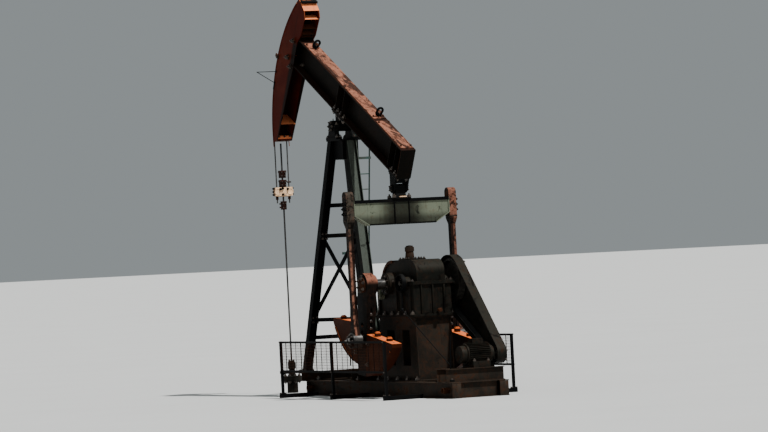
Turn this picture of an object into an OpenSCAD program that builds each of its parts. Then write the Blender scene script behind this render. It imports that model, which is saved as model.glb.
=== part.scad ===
// Crank-balanced pumping unit, head up near the top of its stroke.
// X runs towards the tail, -X towards the well, Z up. The origin is on the ground below the centre bearing.

/* [Driving geometry] */
// Height of the centre bearing above the ground
bearing_z = 5310; // [5100:10:5500]
// Centre bearing to the polished rod
head_reach = 2960; // [2800:10:3100]
// Centre bearing to the tail bearing
tail_reach = 2757; // [2650:10:2850]
// Tail-down tilt of the walking beam as stored
beam_tilt = 28.3; // [24:0.1:30]
// Crank shaft behind the centre bearing
crank_x = 2590; // [2550:10:2650]
// Crank shaft above the ground
crank_z = 2175; // [2140:5:2250]
// Crank shaft to the wrist pin
crank_radius = 1070; // [1000:10:1120]
// Lean of the crank towards the well
crank_lean = 7; // [0:1:12]

/* [Base] */
// Length of the base rails
base_length = 6500; // [6300:50:7000]
// Front end of the rails ahead of the centre bearing
base_front = 1000; // [900:10:1200]
// Distance between the rail centres
rail_gap = 1000; // [960:10:1020]
// Height of a rail
rail_h = 300; // [260:10:320]
// Width of a rail flange
rail_b = 200; // [160:10:220]
// Thickness of a rail flange
rail_tf = 18; // [12:1:24]
// Thickness of a rail web
rail_tw = 12; // [8:1:16]
// Height of the bolsters under the legs
bolster_h = 180; // [150:10:200]
// Width of a bolster
bolster_b = 200; // [160:10:240]

/* [Samson post] */
// Depth and width of a front leg section
leg_b = 150; // [130:5:170]
// Depth of the rear leg section
rear_leg_h = 205; // [180:5:220]
// Width of the rear leg section
rear_leg_b = 165; // [140:5:180]
// Flange thickness of the legs
leg_tf = 12; // [8:1:16]
// Web thickness of the legs
leg_tw = 9; // [6:1:12]
// Front feet ahead of the centre bearing
foot_front_x = 690; // [600:10:760]
// Half the distance between the front feet
foot_front_y = 700; // [640:10:740]
// Rear foot behind the centre bearing
foot_rear_x = 1150; // [1050:10:1250]
// Half the distance between the front legs at the top
leg_top_y = 160; // [140:5:175]
// Front legs ahead of the centre bearing at the top
leg_top_front = 125; // [110:5:140]
// Rear leg behind the centre bearing at the top
leg_top_rear = 330; // [290:10:380]
// Height of the post head
post_head_h = 400; // [340:10:440]

/* [Walking beam] */
// Depth of the walking beam
beam_h = 610; // [560:10:640]
// Flange width of the walking beam
beam_b = 305; // [280:5:310]
// Flange thickness of the walking beam
beam_tf = 24; // [18:1:30]
// Web thickness of the walking beam
beam_tw = 15; // [10:1:18]
// Underside of the beam above the bearing centres
beam_lift = 265; // [250:5:290]
// Head end of the beam from the centre bearing
beam_front = 2600; // [2500:10:2640]
// Beam past the tail bearing
tail_over = 103; // [95:1:160]
// Width of the cap plates on the beam
cap_b = 262; // [200:2:270]
// Thickness of the cap plates
cap_t = 20; // [12:1:26]

/* [Horsehead] */
// Angle of the face below the beam axis
face_low = 32; // [31:1:34]
// Angle of the face above the beam axis
face_high = 34.4; // [33:0.1:35]
// Thickness of the side plates
head_plate_t = 14; // [10:1:18]
// Thickness of the face plate
face_t = 16; // [10:1:20]
// Back edge of the head from the centre bearing, at the beam
head_back = 2190; // [2120:10:2230]
// Back edge of the head at its lower tip
head_back_tip = 2345; // [2300:5:2370]
// Back edge of the head near its top
head_back_top = 2045; // [2030:5:2100]
// Gap between a side plate and the beam flange
head_fit = 3; // [1:0.5:5]

/* [Hanger] */
// Diameter of a bridle rope
rope_d = 28; // [22:1:32]
// Half the distance between the ropes
rope_y = 136; // [120:2:140]
// Diameter of the polished rod
rod_d = 36; // [32:1:40]
// Height of the carrier bar's middle
carrier_z = 4100; // [3950:10:4150]
// Height of the carrier bar
carrier_h = 175; // [140:5:200]
// Length of the carrier bar
carrier_l = 385; // [370:5:420]
// Width of the carrier bar
carrier_b = 110; // [100:5:130]
// Top end of the polished rod
rod_top = 5080; // [4900:10:5080]
// Top of the stuffing box
box_top = 620; // [560:10:700]

/* [Equalizer and pitmans] */
// Half the distance between the pitmans
pitman_y = 1100; // [1090:5:1130]
// Top of the equalizer below the tail bearing
equalizer_drop = 205; // [195:5:230]
// Depth of the equalizer in the middle
equalizer_h = 490; // [440:10:520]
// Depth of the equalizer at its ends
equalizer_end_h = 300; // [260:10:340]
// Half the flat stretch of its underside
equalizer_flat = 710; // [640:10:760]
// Width of the equalizer flanges
equalizer_b = 210; // [180:10:230]
// Thickness of the equalizer flanges
equalizer_tf = 18; // [12:1:22]
// Thickness of the equalizer web
equalizer_tw = 14; // [10:1:18]
// Width of a pitman head
pitman_head_w = 158; // [140:2:165]
// Depth of a pitman head
pitman_head_d = 185; // [160:5:200]
// Length of a pitman head
pitman_head_l = 590; // [520:10:640]
// Width of a pitman bar
pitman_w = 104; // [90:2:116]
// Depth of a pitman bar
pitman_d = 112; // [100:2:130]
// Radius of the wrist bearing housing
wrist_r = 150; // [140:5:165]
// Length of the wrist bearing housing
wrist_l = 190; // [170:5:200]

/* [Cranks] */
// Half the distance between the cranks
crank_y = 865; // [860:5:870]
// Thickness of a crank
crank_t = 190; // [180:2:192]
// Half width of a crank at the shaft
crank_hub = 225; // [205:5:240]
// Half width of a crank at its far end
crank_tip = 165; // [150:5:180]
// Reach of a crank from the shaft
crank_reach = 1750; // [1700:10:1900]
// Radius of the crank shaft
shaft_r = 100; // [85:5:110]
// Outer radius of a counterweight
weight_r = 1565; // [1500:5:1650]
// Thickness of a counterweight
weight_t = 205; // [190:5:210]
// Reach of a counterweight from the crank's middle line
weight_reach = 1305; // [1250:5:1400]
// Top of a counterweight below the crank shaft
weight_top = 740; // [700:5:780]
// Shift of the tail-side weights along the cranks
weight_shift = 190; // [100:10:200]

/* [Gear case and drive] */
// Width of the gear case
gear_w = 800; // [760:10:840]
// Front of the gear case ahead of the crank shaft
gear_front = 560; // [520:10:600]
// Rear of the gear case behind the crank shaft
gear_rear = 1110; // [1060:10:1160]
// Top of the gear case above the crank shaft
gear_top = 440; // [400:10:470]
// Underside of the gear case below the crank shaft
gear_bottom = 640; // [600:10:680]
// Motor shaft above its feet
motor_foot_h = 250; // [220:5:260]
// Radius of the large sheave
sheave_r = 430; // [400:10:450]
// Radius of the small sheave
motor_sheave_r = 130; // [110:5:150]
// Middle of the belt plane from the centre line
belt_y = 600; // [590:5:610]
// Width of the sheaves
sheave_w = 130; // [110:5:140]
// Drive shaft behind the crank shaft
input_x = 760; // [720:10:800]
// Motor shaft behind the crank shaft
motor_x = 2500; // [2450:10:2560]
// Motor shaft above the ground
motor_z = 800; // [760:10:840]

/* [Ladder and guards] */
// Spacing of the ladder rungs
rung_pitch = 305; // [250:5:330]
// Width of the ladder
ladder_w = 400; // [360:10:440]
// Guard plane from the centre line
guard_y = 1350; // [1300:10:1450]
// Top of the guards
guard_z = 1120; // [1050:10:1200]
// Lowest rail of the guards
guard_low = 510; // [460:10:560]
// Front end of the guards behind the centre bearing
guard_x = -470; // [-520:10:-420]
// Length of one guard panel
guard_l = 2350; // [2250:10:2400]

/* [Hidden] */
$fn = 48;

// Running gap between a shaft and its bore
run_fit = 0.05;
// Gap between seated pieces
seat = 0.3;
// Angle between the stored tilt and level, as sine and cosine
tilt_s = sin(beam_tilt);
tilt_c = cos(beam_tilt);
tail_x = tail_reach * tilt_c;
tail_z = bearing_z - tail_reach * tilt_s;
pin_x = crank_x - crank_radius * sin(crank_lean);
pin_z = crank_z - crank_radius * cos(crank_lean);
pitman_length = norm([pin_x - tail_x, pin_z - tail_z]);
pitman_lean = atan2(pin_x - tail_x, tail_z - pin_z);
rail_top = rail_h;
// Top plate of the post
head_cap_t = 30;
foot_z = rail_top + bolster_h;
post_head_z = bearing_z - beam_lift;
bearing_r = 62;
tail_shaft_r = 45;
face_r = head_reach - rope_d / 2;
head_y = beam_b / 2 + head_fit;
crank_face_y = crank_y + crank_t / 2;
wrist_pin_r = 55;
beam_rear = tail_reach + tail_over;
leg_end_z = post_head_z - head_cap_t;
// Levels of the crossed braces and of the level struts, as shares of the legs' height
leg_h = leg_end_z - foot_z;
brace_low_z = foot_z + 0.225 * leg_h;
brace_high_z = foot_z + 0.589 * leg_h;
strut_low_z = foot_z + 0.148 * leg_h;
strut_high_z = foot_z + 0.721 * leg_h;

// Flat piece in the XZ plane from y = y0 to y = y0 + t
module slab(t, y0) {
    translate([0, y0 + t, 0]) rotate([90, 0, 0]) linear_extrude(t) children();
}

// Flat piece in the YZ plane from x = x0 to x = x0 + t
module wall(t, x0) {
    translate([x0, 0, 0]) rotate([90, 0, 90]) linear_extrude(t) children();
}

// Both sides of the centre plane
module both_sides() {
    children();
    mirror([0, 1, 0]) children();
}

// Round bar along Y between two stations
module bar_y(r, y0, y1) {
    translate([0, y1, 0]) rotate([90, 0, 0]) cylinder(r = r, h = y1 - y0);
}

// I-section outline, depth along Y
module i_outline(h, b, tf, tw) {
    square([tw, h - tf], center = true);
    for (s = [-1, 1]) translate([0, s * (h - tf) / 2]) square([b, tf], center = true);
}

// I-section along X with its depth along Z, standing on z = 0
module i_beam_x(l, h, b, tf, tw) {
    translate([0, 0, h / 2]) rotate([90, 0, 90]) linear_extrude(l) i_outline(h, b, tf, tw);
}

// I-section along Y with its depth along Z, standing on z = 0
module i_beam_y(l, h, b, tf, tw) {
    translate([0, l / 2, h / 2]) rotate([90, 0, 0]) linear_extrude(l) i_outline(h, b, tf, tw);
}

// Section swept from one point to another with its faces kept square to X and Y
module run_between(a, b, over = 0) {
    d = b - a;
    l = norm(d);
    turn = atan2(d[1], d[0]);
    lean = acos(d[2] / l);
    translate(a) rotate([0, lean, turn]) rotate([0, 0, -turn])
        translate([0, 0, -over]) linear_extrude(l + 2 * over) children();
}

// Keeps what lies between two levels
module between_levels(z0, z1) {
    intersection() {
        children();
        translate([-base_length, -base_length, z0]) cube([2 * base_length, 2 * base_length, z1 - z0]);
    }
}

// Walking beam's own frame: X to the tail along the beam, origin at the centre bearing
module at_beam() {
    translate([0, 0, bearing_z]) rotate([0, beam_tilt, 0]) children();
}

// Pitman's own frame: origin at the tail bearing, the wrist pins straight below
module at_pitman() {
    translate([tail_x, 0, tail_z]) rotate([0, -pitman_lean, 0]) children();
}

// Crank's own frame: the arms point down from the shaft
module at_crank() {
    translate([crank_x, 0, crank_z]) rotate([0, crank_lean, 0]) children();
}

// Base

module rail() {
    translate([-base_front, rail_gap / 2, 0]) i_beam_x(base_length, rail_h, rail_b, rail_tf, rail_tw);
}

module base_rail_left() {
    color("dimgray") mirror([0, 1, 0]) rail();
}

module base_rail_right() {
    color("dimgray") rail();
}

// Width, flange and web of a cross beam
cross_b = 120;
cross_tf = 14;
cross_tw = 10;
// Middle of the last cross beam from the rails' end, and of the motor's from the motor shaft
cross_end = 120;
cross_motor = 230;
cross_xs = [
    -foot_front_x, 0, foot_rear_x, crank_x - gear_front + cross_end, crank_x + gear_rear - 200,
    crank_x + motor_x - cross_motor, crank_x + motor_x + cross_motor,
    base_length - base_front - cross_end
];

// A cross beam fits between the rail webs, under their top flanges
module base_cross_beams() {
    color("dimgray") for (x = cross_xs)
        translate([x, 0, 0]) i_beam_y(rail_gap - rail_b, rail_h, cross_b, cross_tf, cross_tw);
}

// Flange and web of a bolster, and its length past a front foot
bolster_tf = 16;
bolster_tw = 12;
bolster_over = 130;

module bolster(l) {
    i_beam_y(l, bolster_h, bolster_b, bolster_tf, bolster_tw);
}

module leg_bolsters() {
    color("dimgray") {
        translate([-foot_front_x, 0, rail_top]) bolster(2 * (foot_front_y + bolster_over));
        translate([foot_rear_x, 0, rail_top]) bolster(rail_gap + rail_b);
    }
}

// Plates of the pedestal, its lean at each end and the frame round its windows
pedestal_t = 20;
pedestal_in = 40;
pedestal_lean = 60;
pedestal_top_t = 30;
pedestal_foot_t = 25;
pedestal_foot_over = 60;
window_low = 300;
window_high = 260;

module gear_pedestal() {
    x0 = crank_x - gear_front + pedestal_in;
    x1 = crank_x + gear_rear - pedestal_lean;
    l = x1 - x0;
    z1 = crank_z - gear_bottom;
    y1 = gear_w / 2 - pedestal_in;
    side = [[x0 - pedestal_lean, rail_top], [x1 + pedestal_lean, rail_top], [x1, z1], [x0, z1]];
    color("dimgray") {
        both_sides() slab(pedestal_t, y1) difference() {
            polygon(side);
            for (share = [0.2, 0.62]) translate([x0 + l * share, rail_top + window_low])
                square([l * 0.2, z1 - rail_top - window_low - window_high]);
        }
        for (x = [x0 + 30, (x0 + x1) / 2, x1 - 50])
            translate([x, -y1, rail_top]) cube([pedestal_t, 2 * y1, z1 - rail_top]);
        translate([x0 - pedestal_in, -gear_w / 2 - 20, z1 - pedestal_top_t])
            cube([l + 2 * pedestal_in, gear_w + 40, pedestal_top_t]);
        translate([x0 - pedestal_in - pedestal_foot_over, -gear_w / 2 - pedestal_foot_over, rail_top])
            cube([l + 2 * (pedestal_in + pedestal_foot_over), gear_w + 2 * pedestal_foot_over,
                pedestal_foot_t]);
    }
}

// Gear case

// Flanges round the foot and along the split, over the case's sides and thick
case_foot = 40;
case_split_over = 20;
case_split_t = 35;
cover_split_t = 30;
// Bearing housings of the crank shaft and of the drive shaft, with their length past the case's side
housing_r = 210;
housing_over = 75;
input_housing_r = 120;
input_housing_over = 50;
input_r = 40;
// Inset of the cover's sides, its round tail end and its low ledge
cover_in = 100;
cover_end = 60;
cover_round = 260;
cover_tail = 330;
cover_ledge = 70;
// Inspection lid and vent on the cover
lid_x = 60;
lid_l = 420;
lid_w = 380;
lid_t = 20;
vent_x = 170;
vent_r = 50;
vent_h = 240;
vent_cap_r = 66;
vent_cap_h = 70;
vent_cap_z = 200;

// Half of a bearing housing, above or below the split
module housing(x, r, over, upper) {
    translate([x, 0, crank_z]) intersection() {
        bar_y(r, -gear_w / 2 - over, gear_w / 2 + over);
        translate([-r, -gear_w, upper ? 0 : -r]) cube([2 * r, 2 * gear_w, r]);
    }
}

module housings(upper) {
    housing(crank_x, housing_r, housing_over, upper);
    housing(crank_x + input_x, input_housing_r, input_housing_over, upper);
}

module shaft_bores() {
    translate([crank_x, 0, crank_z]) bar_y(shaft_r + run_fit, -gear_w, gear_w);
    translate([crank_x + input_x, 0, crank_z]) bar_y(input_r + 2, -gear_w, gear_w);
}

module gear_case() {
    x0 = crank_x - gear_front;
    l = gear_front + gear_rear;
    z0 = crank_z - gear_bottom;
    color("dimgray") difference() {
        union() {
            slab(gear_w, -gear_w / 2) translate([x0 + case_foot, z0])
                square([l - 2 * case_foot, gear_bottom]);
            translate([x0, -gear_w / 2 - case_foot, z0]) cube([l, gear_w + 2 * case_foot, case_foot]);
            translate([x0, -gear_w / 2 - case_split_over, crank_z - case_split_t])
                cube([l, gear_w + 2 * case_split_over, case_split_t]);
            housings(false);
        }
        shaft_bores();
    }
}

module gear_cover() {
    x0 = crank_x - gear_front;
    l = gear_front + gear_rear;
    top_z = crank_z + gear_top;
    color("dimgray") difference() {
        union() {
            translate([0, 0, crank_z]) slab(gear_w - 2 * cover_in, -gear_w / 2 + cover_in) intersection() {
                translate([x0 + cover_end, 0]) square([l - 2 * cover_end, gear_top]);
                union() {
                    translate([crank_x, -40]) circle(r = gear_top + 40);
                    translate([crank_x, 0]) square([gear_rear - cover_tail, gear_top]);
                    translate([crank_x + gear_rear - cover_tail, gear_top - cover_round])
                        circle(r = cover_round);
                    translate([crank_x, 0]) square([gear_rear - cover_ledge, gear_top - cover_round]);
                }
            }
            translate([x0, -gear_w / 2 - case_split_over, crank_z])
                cube([l, gear_w + 2 * case_split_over, cover_split_t]);
            housings(true);
            translate([crank_x + lid_x, -lid_w / 2, top_z - 2]) cube([lid_l, lid_w, lid_t + 2]);
            translate([crank_x + vent_x, 0, top_z]) cylinder(r = vent_r, h = vent_h);
            translate([crank_x + vent_x, 0, top_z + vent_cap_z]) cylinder(r = vent_cap_r, h = vent_cap_h);
        }
        shaft_bores();
    }
}

// Drive

// Hub wall, web and rim of a sheave, and the depth to which the belts lie in it
sheave_hub = 50;
sheave_web = 28;
sheave_rim = 36;
groove = 6;
motor_shaft_r = 30;
// Radius past a sheave's edge of the belts and of their guard
belt_over = 12;
guard_room = 64;
guard_wall = 6;
guard_side = 30;
belt_in = 8;

module sheave(r, w, bore) {
    rotate([90, 0, 0]) translate([0, 0, -w / 2]) rotate_extrude() union() {
        translate([bore, 0]) square([sheave_hub, w]);
        translate([bore, (w - sheave_web) / 2]) square([r - 30 - bore, sheave_web]);
        translate([r - sheave_rim - groove, 0]) square([sheave_rim, w]);
    }
}

module drive_sheaves() {
    color("darkslategray") {
        translate([crank_x + input_x, belt_y, crank_z]) {
            sheave(sheave_r, sheave_w, input_r);
            bar_y(input_r, -belt_y - gear_w / 2 - 140, sheave_w / 2 + 20);
        }
        translate([crank_x + motor_x, belt_y, motor_z]) {
            sheave(motor_sheave_r, sheave_w, motor_shaft_r);
            bar_y(motor_shaft_r, -150, sheave_w / 2 + 10);
        }
    }
}

// The belts run round both sheaves as one loop
module belt_outline(extra) {
    hull() {
        translate([crank_x + input_x, crank_z]) circle(r = sheave_r + extra, $fn = 96);
        translate([crank_x + motor_x, motor_z]) circle(r = motor_sheave_r + extra, $fn = 96);
    }
}

module drive_belts() {
    color("black") slab(sheave_w - 2 * belt_in, belt_y - sheave_w / 2 + belt_in) difference() {
        belt_outline(belt_over);
        belt_outline(0.5 - groove);
    }
}

module belt_guard() {
    w = sheave_w + 2 * guard_side;
    y0 = belt_y - sheave_w / 2 - guard_side - 4;
    strap_x = crank_x + input_x - sheave_r - guard_room - 18;
    stand_x = crank_x + motor_x - 150;
    color("dimgray") difference() {
        union() {
            slab(w, y0) belt_outline(guard_room + guard_wall);
            translate([strap_x, gear_w / 2 + seat, crank_z - 120]) cube([20, y0 - gear_w / 2 + 30, 80]);
            translate([stand_x - 30, y0, motor_z - motor_foot_h + seat]) cube([60, 80, 140]);
        }
        slab(w, y0 - 4) belt_outline(guard_room);
    }
}

// Body, end shields, feet and terminal box of the motor
motor_l = 620;
motor_r = 190;
motor_end_r = 150;
motor_end_l = 60;
motor_feet = [460, 360, 120];
motor_box = [160, 220, 130];

module motor() {
    y1 = belt_y - sheave_w / 2 - 80;
    ym = y1 - motor_l / 2;
    color("slategray") translate([crank_x + motor_x, 0, motor_z]) difference() {
        union() {
            bar_y(motor_r, y1 - motor_l + motor_end_l, y1 - motor_end_l);
            bar_y(motor_end_r, y1 - motor_l, y1);
            translate([-motor_feet[0] / 2, ym - motor_feet[1] / 2, -motor_foot_h]) cube(motor_feet);
            translate([-motor_box[0] / 2, ym - motor_box[1] / 2, motor_r - 40]) cube(motor_box);
        }
        bar_y(motor_shaft_r + seat, y1 - motor_end_l, y1 + motor_end_l);
    }
}

// Beams under the motor's feet, to each side of its shaft
stand_off = 200;
stand_b = 110;

module motor_stand() {
    h = motor_z - motor_foot_h - rail_top;
    color("dimgray") for (s = [-1, 1]) translate([crank_x + motor_x + s * stand_off, 0, rail_top])
        i_beam_y(rail_gap + rail_b, h, stand_b, cross_tf, cross_tw);
}

// Radius, rim and width of the brake drum, and its place beside the gear case
drum_r = 170;
drum_rim = 20;
drum_w = 80;
drum_y = -gear_w / 2 - 150;

module brake_drum() {
    color("dimgray") translate([crank_x + input_x, 0, crank_z]) difference() {
        bar_y(drum_r, drum_y, drum_y + drum_w);
        bar_y(input_r, drum_y - 50, -gear_w / 2);
        bar_y(drum_r - drum_rim, drum_y - 1, drum_y + drum_w - drum_rim);
    }
}

// Samson post

// Foot plates of the front legs and of the rear leg
front_foot = [190, 200, 22];
rear_foot_plate = [200, 260, 22];
// Length of a leg past its ends before it is cut level
leg_over = 60;
leg_foot_left = [-foot_front_x, -foot_front_y, foot_z];
leg_head_left = [-leg_top_front, -leg_top_y, leg_end_z];
rear_foot = [foot_rear_x, 0, foot_z];
rear_head = [leg_top_rear, 0, leg_end_z];

module front_leg() {
    between_levels(foot_z, leg_end_z)
        run_between(leg_foot_left, leg_head_left, leg_over) i_outline(leg_b, leg_b, leg_tf, leg_tw);
    translate([-foot_front_x - front_foot[0] / 2, -foot_front_y - front_foot[1] / 2, foot_z])
        cube(front_foot);
}

module front_leg_left() {
    color("dimgray") front_leg();
}

module front_leg_right() {
    color("dimgray") mirror([0, 1, 0]) front_leg();
}

module rear_leg() {
    color("gray") {
        between_levels(foot_z, leg_end_z) run_between(rear_foot, rear_head, leg_over)
            i_outline(rear_leg_h, rear_leg_b, leg_tf, leg_tw);
        translate([foot_rear_x - rear_foot_plate[0] / 2, -rear_foot_plate[1] / 2, foot_z])
            cube(rear_foot_plate);
    }
}

// Point on the left front leg's middle line at a height
function on_leg(z) = let (k = (z - foot_z) / (leg_end_z - foot_z))
    leg_foot_left + (leg_head_left - leg_foot_left) * k;
function on_rear(z) = let (k = (z - foot_z) / (leg_end_z - foot_z))
    rear_foot + (rear_head - rear_foot) * k;
function flip(p) = [p[0], -p[1], p[2]];

// Height of the gussets that carry the side struts, and their width past a leg
gusset_h = 150;
gusset_over = 26;
// Sections of the crossed braces, the level struts and the side struts
cross_bar = [12, 76];
strut = [16, 80];
side_strut = [80, 12];

module post_braces() {
    color("dimgray") difference() {
        union() {
            run_between(on_leg(brace_low_z), flip(on_leg(brace_high_z))) square(cross_bar, center = true);
            run_between(flip(on_leg(brace_low_z)), on_leg(brace_high_z)) square(cross_bar, center = true);
            for (z = [strut_low_z, strut_high_z])
                translate([on_leg(z)[0] - strut[0] / 2, on_leg(z)[1], z - strut[1] / 2])
                    cube([strut[0], -2 * on_leg(z)[1], strut[1]]);
            both_sides() for (z = [brace_low_z, brace_high_z]) {
                run_between(on_leg(z), on_rear(z) - [0, 60, 0]) square(side_strut, center = true);
                translate([on_leg(z)[0], on_leg(z)[1] - leg_b / 2, z - gusset_h / 2])
                    cube([leg_b / 2 + gusset_over, leg_b, gusset_h]);
                translate([on_rear(z)[0] - rear_leg_b / 2 - gusset_over, -rear_leg_h / 2, z - gusset_h / 2])
                    cube([rear_leg_b / 2 + gusset_over, rear_leg_h / 2 + 1, gusset_h]);
            }
        }
        leg_room();
    }
}

// Room for the legs inside the braces' ends
module leg_room() {
    both_sides() run_between(leg_foot_left, leg_head_left, leg_over)
        square([leg_b + 2 * seat, leg_b + 2 * seat], center = true);
    run_between(rear_foot, rear_head, leg_over)
        square([rear_leg_b + 2 * seat, rear_leg_h + 2 * seat], center = true);
}

// Overhang of the post's cap plate and of the block below it past the legs' middle lines
cap_over = 95;
block_over_x = 20;
block_over_y = 10;

module post_head() {
    l = leg_top_front + leg_top_rear;
    color("dimgray") {
        translate([-leg_top_front - cap_over + 5, -leg_top_y - cap_over, leg_end_z])
            cube([l + 2 * cap_over, 2 * (leg_top_y + cap_over), head_cap_t]);
        difference() {
            translate([-leg_top_front - block_over_x, -leg_top_y - block_over_y, post_head_z - post_head_h])
                cube([l + 2 * block_over_x, 2 * (leg_top_y + block_over_y), post_head_h - head_cap_t]);
            leg_room();
        }
    }
}

// Pillow blocks of the centre bearing: first side, length, housing and foot
block_y = 135;
block_l = 100;
block_r = 112;
block_half = 190;
block_foot = [480, 130, 40];

module center_bearing() {
    color("dimgray") both_sides() difference() {
        union() {
            translate([0, 0, bearing_z]) bar_y(block_r, block_y, block_y + block_l);
            slab(block_l, block_y) polygon([
                [-block_half, post_head_z], [block_half, post_head_z],
                [block_r - 7, bearing_z], [7 - block_r, bearing_z]]);
            translate([-block_foot[0] / 2, block_y - 15, post_head_z]) cube(block_foot);
        }
        translate([0, 0, bearing_z]) bar_y(bearing_r + run_fit, block_y - 35, block_y + block_l + 65);
    }
}

// Ladder on the well side of the right leg: its middle, its distance and the radius of a rung
ladder_y = 520;
ladder_off = 150;
rung_r = 11;
// Section of a ladder rail, and thickness and height of its brackets
ladder_rail = [50, 10];
bracket_t = 16;
bracket_h = 50;
ladder_levels = [foot_z + 0.1455 * leg_h, foot_z + 0.5095 * leg_h, foot_z + 0.923 * leg_h];
function ladder_x(z) = on_leg(z)[0] - ladder_off;

module ladder() {
    z0 = foot_z + 60;
    z1 = post_head_z - 180;
    color("gray") {
        for (z = ladder_levels) difference() {
            union() {
                translate([ladder_x(z) + 25, ladder_y - ladder_w / 2 - 200, z - bracket_h / 2])
                    cube([ladder_off - leg_b / 2 - 20, 190, bracket_h]);
                translate([ladder_x(z) + 15, ladder_y - ladder_w / 2 - 200, z - bracket_h / 2])
                    cube([bracket_t, ladder_w + 220, bracket_h]);
            }
            leg_room();
        }
        for (s = [-1, 1])
            run_between([ladder_x(z0), ladder_y + s * ladder_w / 2, z0],
                [ladder_x(z1), ladder_y + s * ladder_w / 2, z1]) square(ladder_rail, center = true);
        for (z = [z0 + 150 : rung_pitch : z1 - 50])
            translate([ladder_x(z), 0, z])
                bar_y(rung_r, ladder_y - ladder_w / 2 - rung_r, ladder_y + ladder_w / 2 + rung_r);
    }
}

// Guards: post, rail section, bar and the beam that carries the posts
guard_post = 50;
guard_rail_h = 40;
guard_rail_t = 30;
guard_bar = 10;
outrigger = 80;
outrigger_over = 60;

module guard() {
    color("dimgray") {
        for (i = [0 : 2])
            translate([guard_x + i * guard_l - guard_post / 2, -guard_y - guard_post / 2, outrigger])
                cube([guard_post, guard_post, guard_z - outrigger]);
        for (z = [guard_z - guard_rail_h, guard_low])
            translate([guard_x, -guard_y - guard_rail_t / 2, z])
                cube([2 * guard_l, guard_rail_t, guard_rail_h]);
        for (i = [0 : 1], k = [1 : 9])
            translate([guard_x + (i + k / 10) * guard_l - guard_bar / 2, -guard_y - guard_bar / 2,
                guard_low + guard_rail_h / 2])
                cube([guard_bar, guard_bar, guard_z - guard_low - guard_rail_h]);
    }
}

module guard_left() {
    guard();
}

module guard_right() {
    mirror([0, 1, 0]) guard();
}

module guard_outriggers() {
    color("dimgray") both_sides() for (i = [0 : 2])
        translate([guard_x + i * guard_l - outrigger / 2, -guard_y - outrigger_over, 0])
            cube([outrigger, guard_y + outrigger_over - rail_gap / 2 - rail_b / 2, outrigger]);
}

// Wellhead: casing, two flanges, neck and gland of the stuffing box
casing_r = 110;
casing_h = 240;
flange_r = 190;
flange_t = 50;
neck_r = 62;
gland_r = 80;
gland_h = 130;

module stuffing_box() {
    neck_z = casing_h + 2 * flange_t;
    color("dimgray") translate([-head_reach, 0, 0]) difference() {
        union() {
            cylinder(r = casing_r, h = casing_h);
            for (k = [0, 1]) translate([0, 0, casing_h + k * flange_t])
                cylinder(r = flange_r, h = flange_t);
            translate([0, 0, neck_z]) cylinder(r = neck_r, h = box_top - neck_z - gland_h / 2);
            translate([0, 0, box_top - gland_h]) cylinder(r = gland_r, h = gland_h);
        }
        translate([0, 0, 100]) cylinder(r = rod_d / 2 + 0.2, h = box_top);
    }
}

// Beam

// Thickness of its end plate and stiffeners, and their distance inside the flanges' edges
beam_end_t = 16;
stiffener_t = 12;
stiffener_in = 10;

module walking_beam() {
    w = beam_b / 2 - beam_tw / 2 - stiffener_in;
    color("indianred") at_beam() {
        translate([-beam_front, 0, beam_lift])
            i_beam_x(beam_front + beam_rear, beam_h, beam_b, beam_tf, beam_tw);
        translate([beam_rear, -beam_b / 2, beam_lift]) cube([beam_end_t, beam_b, beam_h]);
        for (x = [-150, 150, tail_reach - 130, tail_reach - 370], s = [-1, 1])
            translate([x - stiffener_t / 2, s > 0 ? beam_tw / 2 : stiffener_in - beam_b / 2,
                beam_lift + beam_tf])
                cube([stiffener_t, w, beam_h - 2 * beam_tf]);
    }
}

// Front end of the cap plates behind the beam's front end, and their joint ahead of the tail bearing
cap_start = 650;
rear_cap_l = 1257;
cap_front = beam_front - cap_start;
cap_joint = tail_reach - rear_cap_l;

// Gap between the cap plates, and the rear one's distance from the beam's end
cap_gap = 120;
cap_end = 60;

// Lifting eyes on the caps
lug_end = 260;
lug_xs = [lug_end - cap_front, cap_joint - 75];
lug_r = 60;
lug_t = 24;

module beam_caps() {
    top = beam_lift + beam_h;
    color("rosybrown") at_beam() {
        translate([-cap_front, -cap_b / 2, top]) cube([cap_front + cap_joint, cap_b, cap_t]);
        translate([cap_joint + cap_gap, -cap_b / 2, top])
            cube([beam_rear - cap_joint - cap_gap - cap_end, cap_b, cap_t]);
        for (x = lug_xs) translate([x, 0, top + cap_t]) wall(lug_t, -lug_t / 2) difference() {
            union() {
                translate([0, lug_r + 15]) circle(r = lug_r);
                translate([-lug_r, 0]) square([2 * lug_r, lug_r + 15]);
            }
            translate([0, lug_r + 20]) circle(r = lug_r - 24);
        }
    }
}

// Saddle: half length of its shaft and hub, and its foot plate under the beam
saddle_shaft = 260;
saddle_hub_r = 105;
saddle_hub = 128;
saddle_w = 180;
saddle_half = 270;
saddle_t = 30;

module beam_saddle() {
    top = beam_lift - saddle_t + 5;
    color("dimgray") at_beam() {
        bar_y(bearing_r, -saddle_shaft, saddle_shaft);
        bar_y(saddle_hub_r, -saddle_hub, saddle_hub);
        slab(saddle_w, -saddle_w / 2)
            polygon([[10 - saddle_hub_r, 0], [saddle_hub_r - 10, 0], [240, top], [-240, top]]);
        translate([-saddle_half, -beam_b / 2, beam_lift - saddle_t])
            cube([2 * saddle_half, beam_b, saddle_t]);
    }
}

// Tail bracket: its two cheeks and the plate under the beam
cheek_r = 92;
cheek_t = 38;
cheek_y = 112;
bracket_front = 260;
bracket_l = 350;
bracket_plate_t = 28;

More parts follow.
